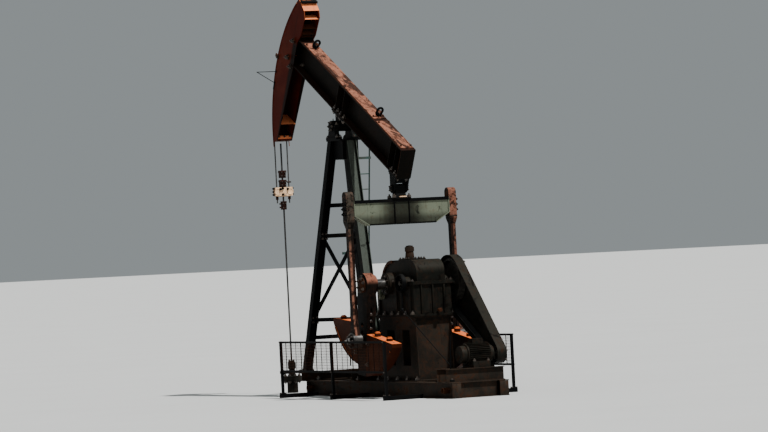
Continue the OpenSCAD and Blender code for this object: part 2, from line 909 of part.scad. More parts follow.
module tail_bracket() {
    top = beam_lift - 20;
    color("dimgray") at_beam() translate([tail_reach, 0, 0]) difference() {
        union() {
            translate([-bracket_front, -beam_b / 2, beam_lift - bracket_plate_t])
                cube([bracket_l, beam_b, bracket_plate_t]);
            both_sides() slab(cheek_t, cheek_y) {
                circle(r = cheek_r);
                polygon([[2 - cheek_r, 20], [cheek_r - 2, 20], [80, top], [-210, top]]);
            }
        }
        bar_y(tail_shaft_r + run_fit, -cheek_y - 2 * cheek_t, cheek_y + 2 * cheek_t);
    }
}

// Horsehead

function head_x(a) = -face_r * cos(a);
function head_z(a) = face_r * sin(a);
tip_low = [-face_r * cos(face_low), -face_r * sin(face_low)];
tip_high = [-face_r * cos(face_high), face_r * sin(face_high)];

shoulder = [-head_back_top - 80, tip_high[1] - 130];

module head_outline() {
    intersection() {
        circle(r = face_r, $fn = 180);
        polygon([
            tip_low * 1.2, [-head_back_tip, tip_low[1] + 90],
            [-head_back - 40, beam_lift - 320], [-head_back, beam_lift],
            [-head_back, beam_lift + beam_h - 60], [-head_back_top - 45, beam_lift + beam_h + 125],
            [-head_back_top, tip_high[1] - 245], shoulder, tip_high + (tip_high - shoulder) / 2,
            [-1.1 * face_r, tip_high[1]]
        ]);
    }
}

module head_plate() {
    at_beam() slab(head_plate_t, head_y) head_outline();
}

module head_plate_left() {
    color("firebrick") mirror([0, 1, 0]) head_plate();
}

module head_plate_right() {
    color("firebrick") head_plate();
}

module head_face() {
    color("firebrick") at_beam() slab(2 * head_y, -head_y) difference() {
        head_outline();
        circle(r = face_r - face_t, $fn = 180);
    }
}

// Thickness of the plates between the side plates, and the hinge pins with their heads
rib_t = 12;
head_pin_r = 34;
head_pin_over = 26;
head_pins = [[-2330, beam_lift + beam_h - 95], [-2460, beam_lift + 95]];

// Plates between the side plates: front end, level and back end
ribs = [
    [2760, tip_low[1] + 480, head_back_tip - 55], [2850, beam_lift - 60, head_back + 90],
    [2800, beam_lift + beam_h + 50, head_back - 40], [2300, beam_lift + beam_h + 130, head_back_top + 60],
    [2300, beam_lift + beam_h + 265, head_back_top + 40], [2260, tip_high[1] - 300, head_back_top + 10]
];

// Plate edge from a to b, to the right of that line
module strip(a, b, t) {
    translate(a) rotate(atan2(b[1] - a[1], b[0] - a[0])) translate([0, -t]) square([norm(b - a), t]);
}

module head_ribs() {
    color("indianred") at_beam() {
        slab(2 * head_y, -head_y) intersection() {
            circle(r = face_r - face_t - seat, $fn = 180);
            union() {
                for (r = ribs) translate([-r[0], r[1]]) square([r[0] - r[2], rib_t]);
                strip([-head_back_tip, tip_low[1] + 90], tip_low, rib_t);
                strip(tip_high, shoulder, rib_t);
            }
        }
        for (p = head_pins) translate([p[0], 0, p[1]]) both_sides() {
            bar_y(head_pin_r, beam_tw / 2, head_y);
            bar_y(head_pin_r, head_y + head_plate_t, head_y + head_plate_t + head_pin_over);
        }
    }
}

// Bent rod on the left side plate: its ends as angles on the face, its reach and its section
stay_high = -3.3;
stay_low = -8;
stay_reach = 400;
stay_r = 7;
stay_foot = 48;
stay_foot_t = 8;
stay_drop = 126;

module head_rod_bracket() {
    y0 = -head_y - head_plate_t;
    tip = [head_x(stay_high) - 10, y0 - stay_reach, head_z(stay_high) - 25];
    upper = [head_x(stay_high) + 40, y0 - stay_r, head_z(stay_high)];
    lower = [head_x(stay_low) + 40, y0 - stay_r, head_z(stay_low)];
    half = stay_foot / 2;
    color("dimgray") at_beam() {
        run_between(upper, tip) circle(r = stay_r);
        run_between(lower, tip) circle(r = stay_r);
        translate(tip) sphere(r = stay_r + 2);
        translate([upper[0] - half, y0 - stay_foot_t, upper[2] - half])
            cube([stay_foot, stay_foot_t, stay_foot]);
        translate([lower[0] - half, y0 - stay_foot_t, lower[2] - half - stay_drop])
            cube([stay_foot, stay_foot_t, stay_foot + stay_drop]);
    }
}

// The ropes lie on the face from just below its top down to the level of the centre bearing
wrap_gap = 3;

module bridle_wrap() {
    color("dimgray") at_beam() both_sides() translate([0, rope_y, 0]) rotate([90, 0, 0])
        rotate([0, 0, 180 - face_high + wrap_gap])
            rotate_extrude(angle = face_high - wrap_gap + beam_tilt, $fn = 240)
                translate([face_r + rope_d / 2 + seat, 0]) circle(r = rope_d / 2, $fn = 32);
}

// Equalizer and pitmans

eq_top = -equalizer_drop;
eq_mid = eq_top - equalizer_h;
eq_end = eq_top - equalizer_end_h;
eq_half = pitman_y - pitman_head_w / 2;
// End plates and the stiffeners beside the tail bearing
eq_end_t = 20;
eq_rib_t = 12;
eq_rib_y = 149;

module equalizer() {
    outline = [[-eq_half, eq_top], [eq_half, eq_top], [eq_half, eq_end], [equalizer_flat, eq_mid],
        [-equalizer_flat, eq_mid], [-eq_half, eq_end]];
    inner = [[-eq_half, eq_top - equalizer_tf], [eq_half, eq_top - equalizer_tf],
        [eq_half, eq_end + equalizer_tf], [equalizer_flat, eq_mid + equalizer_tf],
        [-equalizer_flat, eq_mid + equalizer_tf], [-eq_half, eq_end + equalizer_tf]];
    color("gray") at_pitman() {
        wall(equalizer_tw, -equalizer_tw / 2) polygon(outline);
        wall(equalizer_b, -equalizer_b / 2) difference() {
            polygon(outline);
            polygon(inner);
        }
        both_sides() {
            translate([-equalizer_b / 2, eq_half - eq_end_t, eq_end])
                cube([equalizer_b, eq_end_t, equalizer_end_h]);
            translate([-equalizer_b / 2, eq_rib_y, eq_mid + 5])
                cube([equalizer_b, eq_rib_t, equalizer_h - 10]);
        }
    }
}

// Tail bearing: half length of its shaft, its hub and its foot on the equalizer
tail_shaft = 165;
tail_hub_r = 86;
tail_hub = 104;
tail_foot = [270, 380, 26];

module tail_bearing() {
    color("dimgray") at_pitman() {
        bar_y(tail_shaft_r, -tail_shaft, tail_shaft);
        bar_y(tail_hub_r, -tail_hub, tail_hub);
        slab(2 * tail_hub, -tail_hub) polygon([
            [-60, 0], [60, 0], [95, eq_top + tail_foot[2] - 2], [-95, eq_top + tail_foot[2] - 2]]);
        translate([-tail_foot[0] / 2, -tail_foot[1] / 2, eq_top]) cube(tail_foot);
    }
}

// Top of the pitman heads below the tail bearing, and the taper below a head and above a wrist
pitman_top = pitman_head_d / 2 - 120;
pitman_taper = 120;
wrist_taper = 260;
wrist_low = 60;

module pitman() {
    top = pitman_top;
    half = pitman_d / 2;
    foot = wrist_r - pitman_length;
    color("rosybrown") at_pitman() translate([0, -pitman_y, 0]) difference() {
        union() {
            slab(pitman_head_w, -pitman_head_w / 2) {
                translate([0, top - pitman_head_d / 2]) circle(r = pitman_head_d / 2);
                translate([-pitman_head_d / 2, top - pitman_head_l])
                    square([pitman_head_d, pitman_head_l - pitman_head_d / 2]);
            }
            hull() {
                translate([-pitman_head_d / 2, -pitman_head_w / 2, top - pitman_head_l])
                    cube([pitman_head_d, pitman_head_w, 1]);
                translate([-half, -pitman_w / 2, top - pitman_head_l - pitman_taper])
                    cube([pitman_d, pitman_w, 1]);
            }
            translate([-half, -pitman_w / 2, foot])
                cube([pitman_d, pitman_w, top - pitman_head_l - pitman_taper + 1 - foot]);
            slab(pitman_w, -pitman_w / 2) polygon([
                [-half, foot + wrist_taper], [half, foot + wrist_taper],
                [wrist_r * 0.8, wrist_low - pitman_length], [-wrist_r * 0.8, wrist_low - pitman_length]]);
        }
        translate([0, 0, -pitman_length]) bar_y(wrist_r + seat, -wrist_l, wrist_l);
    }
}

module pitman_left() {
    pitman();
}

module pitman_right() {
    mirror([0, 1, 0]) pitman();
}

// The pin stops short of the crank, where the linkage is opened
pin_gap = 6;
pin_over = 30;

module wrist_bearings() {
    color("dimgray") at_pitman() both_sides() translate([0, 0, -pitman_length]) {
        bar_y(wrist_r, pitman_y - wrist_l / 2, pitman_y + wrist_l / 2);
        bar_y(wrist_pin_r, crank_face_y + pin_gap, pitman_y + wrist_l / 2 + pin_over);
    }
}

// Cranks

// Shaft past a crank's outer face
shaft_over = 12;

module crank_shaft() {
    color("dimgray") at_crank() bar_y(shaft_r, -crank_face_y - shaft_over, crank_face_y + shaft_over);
}

// Half width of a crank at a distance from the shaft
function crank_edge(s) = crank_hub + (crank_tip - crank_hub) * s / crank_reach;

// Bolt slots run along both edges of a crank
slot_w = 42;
slot_depth = 30;
slot_start = 420;
// Boss round the shaft on the inner side, boss of the wrist pin and the spare pin holes
boss_r = 185;
boss_l = 60;
pin_boss_r = 62;
pin_boss_l = 50;
spare_r = 48;

module crank() {
    color("dimgray") at_crank() translate([0, -crank_y, 0]) difference() {
        union() {
            slab(crank_t, -crank_t / 2) {
                circle(r = crank_hub);
                polygon([
                    [-crank_hub, 0], [crank_hub, 0], [crank_tip, -crank_reach], [-crank_tip, -crank_reach]]);
            }
            bar_y(boss_r, crank_t / 2 - 1, crank_t / 2 + boss_l);
            translate([0, 0, -crank_radius])
                bar_y(pin_boss_r, crank_t / 2 - 1, crank_t / 2 + pin_boss_l);
        }
        bar_y(shaft_r + run_fit, -crank_t, crank_t + 100);
        for (s = [0.72, 0.86]) translate([0, 0, -crank_radius * s]) bar_y(spare_r, -crank_t, crank_t);
        for (s = [-1, 1]) slab(slot_w, -slot_w / 2) polygon([
            [s * (crank_edge(slot_start) - slot_depth), -slot_start], [s * (crank_hub + 20), -slot_start],
            [s * (crank_hub + 20), -crank_reach - 10],
            [s * (crank_edge(crank_reach) - slot_depth), -crank_reach - 10]]);
    }
}

module crank_left() {
    crank();
}

module crank_right() {
    mirror([0, 1, 0]) crank();
}

// Fall of a weight's top edge at its outer end
weight_fall = 50;

module weight(side, shift) {
    mirror([side > 0 ? 0 : 1, 0, 0]) slab(weight_t, -crank_face_y + 5) translate([0, -shift])
        intersection() {
            circle(r = weight_r, $fn = 240);
            polygon([
                [crank_edge(weight_top + shift) + seat, -weight_top],
                [weight_reach, -weight_top - weight_fall],
                [weight_reach, -weight_r], [crank_edge(weight_r + shift) + seat, -weight_r - 50]]);
        }
}

module weights() {
    color("orangered") at_crank() {
        weight(-1, 0);
        weight(1, weight_shift);
    }
}

module weights_left() {
    weights();
}

module weights_right() {
    mirror([0, 1, 0]) weights();
}

// Hanger

carrier_top = carrier_z + carrier_h / 2;
carrier_under = carrier_z - carrier_h / 2;
// Two clamps stacked above the carrier bar, one below it, and the sockets at the ropes' ends
clamp = [104, 116, 150];
clamp_step = 190;
low_clamp = [90, 90, 170];
low_clamp_z = carrier_under - 280;
socket_r = 28;
socket_h = 75;
// Ropes below the carrier bar, and the rod inside the stuffing box
rope_tail = 40;
rod_in_box = 100;

module carrier_bar() {
    color("tan") translate([-head_reach, 0, carrier_under]) difference() {
        translate([-carrier_b / 2, -carrier_l / 2, 0]) cube([carrier_b, carrier_l, carrier_h]);
        translate([0, 0, -1]) cylinder(r = rod_d / 2 + run_fit, h = carrier_h + 2);
        both_sides() translate([0, rope_y, -1]) cylinder(r = rope_d / 2 + seat, h = carrier_h + 2);
    }
}

module rod_clamps() {
    color("dimgray") translate([-head_reach, 0, 0]) difference() {
        union() {
            for (z = [carrier_top, carrier_top + clamp_step])
                translate([-clamp[0] / 2, -clamp[1] / 2, z + seat]) cube(clamp);
            translate([-low_clamp[0] / 2, -low_clamp[1] / 2, low_clamp_z]) cube(low_clamp);
            both_sides() translate([0, rope_y, carrier_under - socket_h])
                cylinder(r = socket_r, h = socket_h - seat);
        }
        cylinder(r = rod_d / 2 + run_fit, h = bearing_z);
        both_sides() translate([0, rope_y, carrier_under - rope_tail - 10])
            cylinder(r = rope_d / 2 + seat, h = carrier_h);
    }
}

module polished_rod() {
    color("silver") translate([-head_reach, 0, box_top - rod_in_box])
        cylinder(r = rod_d / 2, h = rod_top - box_top + rod_in_box);
}

module bridle_ropes() {
    color("dimgray") both_sides() translate([-head_reach, rope_y, carrier_under - rope_tail])
        cylinder(r = rope_d / 2, h = bearing_z - carrier_under + rope_tail);
}

base_rail_left();
base_rail_right();
base_cross_beams();
leg_bolsters();
gear_pedestal();
gear_case();
gear_cover();
drive_sheaves();
drive_belts();
belt_guard();
motor();
motor_stand();
brake_drum();
front_leg_left();
front_leg_right();
rear_leg();
post_braces();
post_head();
center_bearing();
ladder();
guard_left();
guard_right();
guard_outriggers();
stuffing_box();
walking_beam();
beam_caps();
beam_saddle();
tail_bracket();
head_plate_left();
head_plate_right();
head_face();
head_ribs();
head_rod_bracket();
bridle_wrap();
equalizer();
tail_bearing();
pitman_left();
pitman_right();
wrist_bearings();
crank_shaft();
crank_left();
crank_right();
weights_left();
weights_right();
carrier_bar();
rod_clamps();
polished_rod();
bridle_ropes();
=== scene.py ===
"""A weathered beam pumping unit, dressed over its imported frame.

Lengths are metres. X runs from the well to the tail of the walking beam, Z is up, and the origin is on the
ground below the centre bearing.
"""
from __future__ import annotations

import logging
import math
from collections.abc import Callable, Iterable, Sequence
from dataclasses import dataclass, replace
from enum import Enum
from itertools import product

import bpy
from mathutils import Matrix, Vector

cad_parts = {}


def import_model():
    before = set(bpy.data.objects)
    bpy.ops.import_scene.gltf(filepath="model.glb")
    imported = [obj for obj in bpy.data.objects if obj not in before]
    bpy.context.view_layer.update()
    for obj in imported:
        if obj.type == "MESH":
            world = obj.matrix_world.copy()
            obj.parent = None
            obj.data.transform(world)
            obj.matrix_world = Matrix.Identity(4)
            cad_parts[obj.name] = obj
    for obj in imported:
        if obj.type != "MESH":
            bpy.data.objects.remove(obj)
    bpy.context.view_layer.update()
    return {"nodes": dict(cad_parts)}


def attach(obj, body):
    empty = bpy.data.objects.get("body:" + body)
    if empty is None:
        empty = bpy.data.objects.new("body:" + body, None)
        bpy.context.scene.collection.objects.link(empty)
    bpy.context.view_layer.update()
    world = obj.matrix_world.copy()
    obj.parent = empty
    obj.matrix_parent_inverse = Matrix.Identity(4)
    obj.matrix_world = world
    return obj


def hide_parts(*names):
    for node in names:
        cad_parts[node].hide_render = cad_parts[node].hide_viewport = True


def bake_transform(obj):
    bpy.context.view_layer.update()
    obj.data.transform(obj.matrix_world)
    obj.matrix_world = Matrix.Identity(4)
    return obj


LOG = logging.getLogger("pumpjack")
Rgb = tuple[float, float, float]
Point = tuple[float, float, float]
Piece = bpy.types.Object
Socket = bpy.types.NodeSocket
FaceTest = Callable[[Vector, Vector], bool]
Pairs = tuple[tuple[float, float], ...]

BEAM_TILT = math.radians(28.3)
CRANK_LEAN = math.radians(7.0)
BEARING = Vector((0.0, 0.0, 5.31))
HEAD_REACH = 2.96
TAIL_REACH = 2.757
SHAFT = Vector((2.59, 0.0, 2.175))
CRANK_RADIUS = 1.07
TAIL = BEARING + Vector((TAIL_REACH * math.cos(BEAM_TILT), 0.0, -TAIL_REACH * math.sin(BEAM_TILT)))
PIN = SHAFT + CRANK_RADIUS * Vector((-math.sin(CRANK_LEAN), 0.0, -math.cos(CRANK_LEAN)))

FRONT_FOOT = -0.69
REAR_FOOT = 1.15
PINION = 3.35
MOTOR = (5.09, 0.8)
CARRIER_MIDDLE = 4.1
WELL = -HEAD_REACH
SIDES = (-1, 1)

AT_GROUND = Matrix.Identity(4)
AT_BEAM = Matrix.Translation(BEARING) @ Matrix.Rotation(BEAM_TILT, 4, "Y")
AT_PITMAN = Matrix.Translation(TAIL) @ Matrix.Rotation(-math.atan2(PIN.x - TAIL.x, TAIL.z - PIN.z), 4, "Y")
AT_CRANK = Matrix.Translation(SHAFT) @ Matrix.Rotation(CRANK_LEAN, 4, "Y")

SQUARE_ON = 0.9
BEVEL_FROM = math.radians(35)
SMOOTH_UNDER = math.radians(38)


class Body(Enum):
    """The moving bodies of the frame."""

    ROOT = "root"
    BEAM = "beam"
    PITMANS = "pitmans"
    CRANKS = "cranks"
    CARRIER = "carrier"


class Facing(Enum):
    """The six ways in which a bolt or a face can look, as turns from +Z."""

    UP = Matrix.Identity(4)
    DOWN = Matrix.Rotation(math.pi, 4, "X")
    LEFT = Matrix.Rotation(math.pi / 2, 4, "X")
    RIGHT = Matrix.Rotation(-math.pi / 2, 4, "X")
    TAIL = Matrix.Rotation(math.pi / 2, 4, "Y")
    WELL = Matrix.Rotation(-math.pi / 2, 4, "Y")


class Graph:
    """A material's node tree, built from its texture coordinates up."""

    def __init__(self, name: str, turn: float = 0.0) -> None:
        """Starts a material.

        Args:
            name: Name of the material.
            turn: Angle about Y by which the patterns lean, in radians.
        """
        self.material = bpy.data.materials.new(name)
        self.material.use_nodes = True
        self.nodes = self.material.node_tree.nodes
        self.links = self.material.node_tree.links
        self.shader = next(n for n in self.nodes if n.type == "BSDF_PRINCIPLED")
        source = self.nodes.new("ShaderNodeTexCoord")
        self.coordinates = source.outputs["Object"]
        self.normal = source.outputs["Normal"]
        self.turn = turn

    def feed(self, node: bpy.types.Node, inputs: dict[int | str, object]) -> None:
        """Links outputs to a node's inputs, or sets the inputs to constants.

        Args:
            node: The node.
            inputs: Output or constant for each input, by name or number.
        """
        for key, value in inputs.items():
            socket = node.inputs[key]
            if isinstance(value, Socket):
                self.links.new(value, socket)
            elif socket.type == "RGBA":
                socket.default_value = (*value, 1.0)
            else:
                socket.default_value = value

    def node(self, kind: str, inputs: dict[int | str, object], **settings: object) -> bpy.types.Node:
        """Adds a node.

        Args:
            kind: Its type, without the leading "ShaderNode".
            inputs: Output or constant for each input, by name or number.
            settings: Its other properties.

        Returns:
            The node.
        """
        made = self.nodes.new(f"ShaderNode{kind}")
        for name, value in settings.items():
            setattr(made, name, value)
        self.feed(made, inputs)
        return made

    def stretched(self, scale: Point) -> Socket:
        """The coordinates, turned with the piece and stretched by factors along X, Y and Z."""
        inputs = {"Vector": self.coordinates, "Rotation": (0.0, self.turn, 0.0),
                  "Scale": tuple(1.0 / s for s in scale)}
        return self.node("Mapping", inputs, vector_type="TEXTURE").outputs["Vector"]

    def noise(self, size: float, detail: float, rough: float, stretch: Point = (1, 1, 1),
              warp: float = 0.0) -> Socket:
        """Soft noise from 0 to 1 in patches of a size in metres, drawn out where stretch is small."""
        return self.node("TexNoise", {
            "Vector": self.stretched(stretch), "Scale": 1.0 / size, "Detail": detail, "Roughness": rough,
            "Distortion": warp}).outputs["Fac"]

    def edge(self, value: Socket, low: float, high: float) -> Socket:
        """Smooth step of a value from 0 at low to 1 at high."""
        flipped = low > high
        return self.node("MapRange", {
            "Value": value, "From Min": min(low, high), "From Max": max(low, high), "To Min": float(flipped),
            "To Max": float(not flipped)}, interpolation_type="SMOOTHSTEP").outputs["Result"]

    def blend(self, share: Socket, first: object, second: object) -> Socket:
        """Mix of two colours, with a share of the second."""
        return self.node("Mix", {0: share, 6: first, 7: second}, data_type="RGBA").outputs[2]

    def reckon(self, rule: str, first: object, second: object) -> Socket:
        """Result of an operation on two values, held between 0 and 1."""
        return self.node("Math", {0: first, 1: second}, operation=rule, use_clamp=True).outputs["Value"]

    def times(self, first: object, second: object) -> Socket:
        """Product of two values."""
        return self.reckon("MULTIPLY", first, second)

    def plus(self, first: object, second: object) -> Socket:
        """Sum of two values."""
        return self.reckon("ADD", first, second)

    def facing(self, direction: Point, low: float, high: float) -> Socket:
        """How far a face looks in one direction.

        Args:
            direction: Direction in the turned frame.
            low: Cosine at which the result is 0.
            high: Cosine at which the result is 1.

        Returns:
            The share, from 0 to 1.
        """
        aim = Matrix.Rotation(self.turn, 3, "Y") @ Vector(direction).normalized()
        node = self.node("VectorMath", {0: self.normal, 1: aim}, operation="DOT_PRODUCT")
        return self.edge(node.outputs["Value"], low, high)

    def along(self, axis: str, low: float, high: float) -> Socket:
        """Share that grows from 0 at low to 1 at high along an axis of the turned frame."""
        return self.edge(self.node("SeparateXYZ", {0: self.stretched((1, 1, 1))}).outputs[axis], low, high)

    def finish(self, colour: object, roughness: object, bump: Socket, depth: float, metal: object = 0.0,
               specular: float = 0.5) -> bpy.types.Material:
        """Feeds the shader.

        Args:
            colour: Base colour.
            roughness: Roughness.
            bump: Height of the surface.
            depth: Depth of the bump in metres.
            metal: Metallic share.
            specular: Strength of the mirror reflection of bare surfaces.

        Returns:
            The material.
        """
        relief = self.node("Bump", {"Strength": 0.6, "Distance": depth, "Height": bump})
        self.feed(self.shader, {
            "Base Color": colour, "Roughness": roughness, "Metallic": metal, "Specular IOR Level": specular,
            "Normal": relief.outputs["Normal"]})
        return self.material


@dataclass(frozen=True)
class Finish:
    """What a material is made from.

    Attributes:
        name: Name of the material.
    """

    name: str

    def material(self) -> bpy.types.Material:
        """Builds the node tree and returns its material."""
        raise NotImplementedError


@dataclass(frozen=True)
class OilAndShadeZone:
    """A zone darkened towards black: some finishes use it for oil stains, others for painted shade.

    Attributes:
        spans: Axes of the turned frame, each with where the darkening starts and where it is full.
        share: How far the zone is darkened, from 0 to 1.
    """

    spans: tuple[tuple[str, float, float], ...]
    share: float = 0.94

    def mask(self, graph: Graph) -> Socket:
        """Builds the zone's mask.

        Args:
            graph: The material.

        Returns:
            The share of darkening.
        """
        result: object = self.share
        for span in self.spans:
            result = graph.times(graph.along(*span), result)
        return result


@dataclass(frozen=True)
class WeatheredPaint(Finish):
    """Paint on steel after years outdoors: bleached, chipped to rust, streaked and oily.

    The top colour is painted sunlight on the faces towards the sun, and the paint colour is painted shade
    on the faces away from it.

    Attributes:
        paint: Colour of sound paint, darkened as painted shade on the faces away from the sun.
        bleached: Colour where the sun has faded it.
        rust: Colour of the rust.
        grime: Colour of oil and soil on it.
        top: Painted sunlight, the colour of the faces that look up and to the sunny tail side.
        rusty: Share of rust, from 0 to 1.
        grimy: Share of grime, from 0 to 1.
        patch: Width of a patch in metres.
        turn: Lean of the pattern about Y in radians.
        gloss: Roughness of sound paint.
        sunlit_share: How far the sunny faces take the painted sunlight.
        sunny: Direction that gets the sun, in the turned frame.
        stains: Share of dark oil patches drawn out along X, from 0 to 1.
        foot: Painted sunlight that the sunny faces take lower down, below a painted shadow, if they change.
        foot_at: Heights of the painted shadow's edge, where the foot colour gives way to the other.
        oiled: Zones darkened towards black, some oil stains and some painted shade.
    """

    paint: Rgb
    bleached: Rgb
    rust: Rgb
    grime: Rgb
    top: Rgb
    rusty: float
    grimy: float
    patch: float
    turn: float = 0.0
    gloss: float = 0.5
    sunlit_share: float = 0.6
    sunny: Point = (0.47, 0.16, 0.87)
    stains: float = 0.0
    foot: Rgb | None = None
    foot_at: tuple[float, float] = (0.0, 0.0)
    oiled: tuple[OilAndShadeZone, ...] = ()

    def material(self) -> bpy.types.Material:
        """Builds the node tree: paint, painted sunlight, rust, soil, stains and dark zones, one on another.

        Returns:
            The material.
        """
        graph = Graph(self.name, self.turn)
        times, plus, edge = graph.times, graph.plus, graph.edge
        broad = graph.noise(self.patch, 5, 0.55, warp=0.4)
        flakes = graph.noise(self.patch * 0.16, 9, 0.68, warp=0.6)
        grain = graph.noise(0.012, 4, 0.7)
        streaks = graph.noise(self.patch * 0.35, 7, 0.6, stretch=(5.0, 5.0, 0.4))
        colour = graph.blend(edge(broad, 0.36, 0.66), self.paint, self.bleached)
        # Painted sunlight on the faces towards the sun; the dark paint elsewhere is painted shade.
        up = graph.facing(self.sunny, 0.45, 0.85)
        top = self.top
        if self.foot:
            top = graph.blend(graph.along("Z", *self.foot_at), self.foot, self.top)
        colour = graph.blend(times(up, self.sunlit_share), colour, top)
        spots = plus(times(flakes, 0.72), times(broad, 0.28))
        level = 0.66 - 0.26 * self.rusty
        rust = edge(spots, level, level + 0.06)
        dark_rust = graph.blend(edge(grain, 0.35, 0.7), self.rust, tuple(0.45 * c for c in self.rust))
        colour = graph.blend(rust, colour, dark_rust)
        colour = graph.blend(times(edge(spots, level - 0.12, level + 0.02), 0.35), colour, self.rust)
        # Soil streaks, thinner on the faces with painted sunlight.
        soil = edge(streaks, 0.74 - 0.42 * self.grimy, 0.86 - 0.3 * self.grimy)
        soil = times(times(soil, graph.reckon("SUBTRACT", 1.0, times(up, 0.55))), 0.85)
        colour = graph.blend(soil, colour, self.grime)
        if self.stains:
            oil = graph.noise(self.patch * 0.5, 8, 0.66, stretch=(0.45, 1.3, 1.3), warp=0.8)
            oil = edge(oil, 0.7 - 0.3 * self.stains, 0.76 - 0.24 * self.stains)
            colour = graph.blend(times(oil, 0.88), colour, self.grime)
        # Dark zones: oil stains on some finishes, painted shade on others.
        for zone in self.oiled:
            colour = graph.blend(zone.mask(graph), colour, BLACK_OIL_AND_SHADE)
        rough = plus(times(rust, 0.38), plus(self.gloss - 0.12, times(grain, 0.22)))
        return graph.finish(colour, rough, plus(times(rust, 0.6), times(grain, 0.4)), 0.004, specular=0.03)


@dataclass(frozen=True)
class OiledSteel(Finish):
    """Bare machined steel under a film of oil and dust.

    Attributes:
        steel: Colour of the metal.
        film: Colour of the oil.
        oily: Share under the film.
        metal: Metallic share of the clean metal.
    """

    steel: Rgb
    film: Rgb
    oily: float
    metal: float = 0.85

    def material(self) -> bpy.types.Material:
        """Builds the node tree: turned metal with smears over it.

        Returns:
            The material.
        """
        graph = Graph(self.name)
        smears = graph.noise(0.16, 8, 0.65, stretch=(1.0, 1.0, 2.2), warp=0.8)
        turning = graph.noise(0.02, 3, 0.6, stretch=(1.0, 6.0, 1.0))
        film = graph.edge(smears, 0.7 - 0.4 * self.oily, 0.86 - 0.4 * self.oily)
        metal = graph.blend(graph.edge(turning, 0.35, 0.7), self.steel, tuple(0.6 * c for c in self.steel))
        share = graph.times(graph.reckon("SUBTRACT", 1.0, film), self.metal)
        return graph.finish(graph.blend(film, metal, self.film), graph.plus(graph.times(turning, 0.3), 0.18),
                            turning, 0.001, share)


@dataclass(frozen=True)
class WireRope(Finish):
    """Greased rope of laid strands.

    Attributes:
        wire: Colour of the worn wires.
        grease: Colour of the grease between them.
        turn: Lean of the rope about Y in radians.
    """

    wire: Rgb
    grease: Rgb
    turn: float = 0.0

    def material(self) -> bpy.types.Material:
        """Builds the node tree: slanting bands, bright where they are worn.

        Returns:
            The material.
        """
        graph = Graph(self.name, self.turn)
        inputs = {"Vector": graph.stretched((1.0, 1.0, 1.0)), "Scale": 34.0, "Distortion": 0.6}
        strands = graph.node("TexWave", inputs, wave_type="BANDS", bands_direction="DIAGONAL").outputs["Fac"]
        worn = graph.times(strands, graph.edge(graph.noise(0.09, 6, 0.6), 0.35, 0.7))
        rough = graph.plus(graph.times(strands, 0.25), 0.35)
        return graph.finish(graph.blend(worn, self.grease, self.wire), rough, strands, 0.004,
                            graph.times(worn, 0.6))


@dataclass(frozen=True)
class Rubber(Finish):
    """Dusty black rubber.

    Attributes:
        black: Colour of clean rubber.
        dust: Colour of the dust.
    """

    black: Rgb
    dust: Rgb

    def material(self) -> bpy.types.Material:
        """Builds the node tree: clouds of dust on fine grain.

        Returns:
            The material.
        """
        graph = Graph(self.name)
        cloud = graph.edge(graph.noise(0.3, 7, 0.65), 0.45, 0.8)
        grain = graph.noise(0.006, 3, 0.6)
        return graph.finish(graph.blend(graph.times(cloud, 0.5), self.black, self.dust),
                            graph.plus(graph.times(grain, 0.2), 0.65), grain, 0.001)


OIL: Rgb = (0.009, 0.008, 0.007)
# Black of oil and grime, also used for the zones of painted shade.
BLACK_OIL_AND_SHADE: Rgb = (0.0035, 0.003, 0.0025)
WORN_WIRE: Rgb = (0.12, 0.11, 0.1)
GREASE: Rgb = (0.008, 0.007, 0.006)

# Directions from which the painted sunlight of the finishes below falls.
SUN_ON_BEAM: Point = (0.0, 0.16, 0.99)
SUN_FROM_TAIL: Point = (0.85, 0.12, 0.5)

# In each WeatheredPaint, the fifth colour is painted sunlight and the dark first colour painted shade.
HEAD_RED = WeatheredPaint(
    "head_red", (0.05, 0.004, 0.001), (0.078, 0.01, 0.0035), (0.036, 0.008, 0.003), (0.012, 0.003, 0.0015),
    (0.95, 0.27, 0.1), rusty=0.25, grimy=0.35, patch=0.9, turn=BEAM_TILT, sunlit_share=0.95, sunny=SUN_ON_BEAM,
    # Its zone darkens the plates to near black towards their back edge and lower down.
    oiled=(OilAndShadeZone((("X", -4.92, -4.83), ("Z", 5.55, 5.35))),))
LIP_RED = replace(HEAD_RED, name="lip_red", oiled=())
# Painted shade: a darker copy of HEAD_RED for the face and ribs inside the head, with a band near black.
HEAD_CORE_SHADED = replace(
    HEAD_RED, name="head_core_shaded", paint=(0.012, 0.0025, 0.001), bleached=(0.02, 0.004, 0.002),
    oiled=(OilAndShadeZone((("Z", 5.5, 5.56), ("Z", 5.93, 5.86)), 0.85),))
# Its orange top colour is painted sunlight; the near-black paint is painted shade.
WEIGHT_RED = WeatheredPaint(
    "weight_red", (0.028, 0.0065, 0.0025), (0.047, 0.0115, 0.0045), (0.03, 0.01, 0.0045),
    (0.008, 0.004, 0.002), (0.88, 0.19, 0.05), rusty=0.25, grimy=0.45, patch=0.6, turn=CRANK_LEAN,
    sunlit_share=0.95, sunny=(0.36, 0.16, 0.92), stains=0.3)
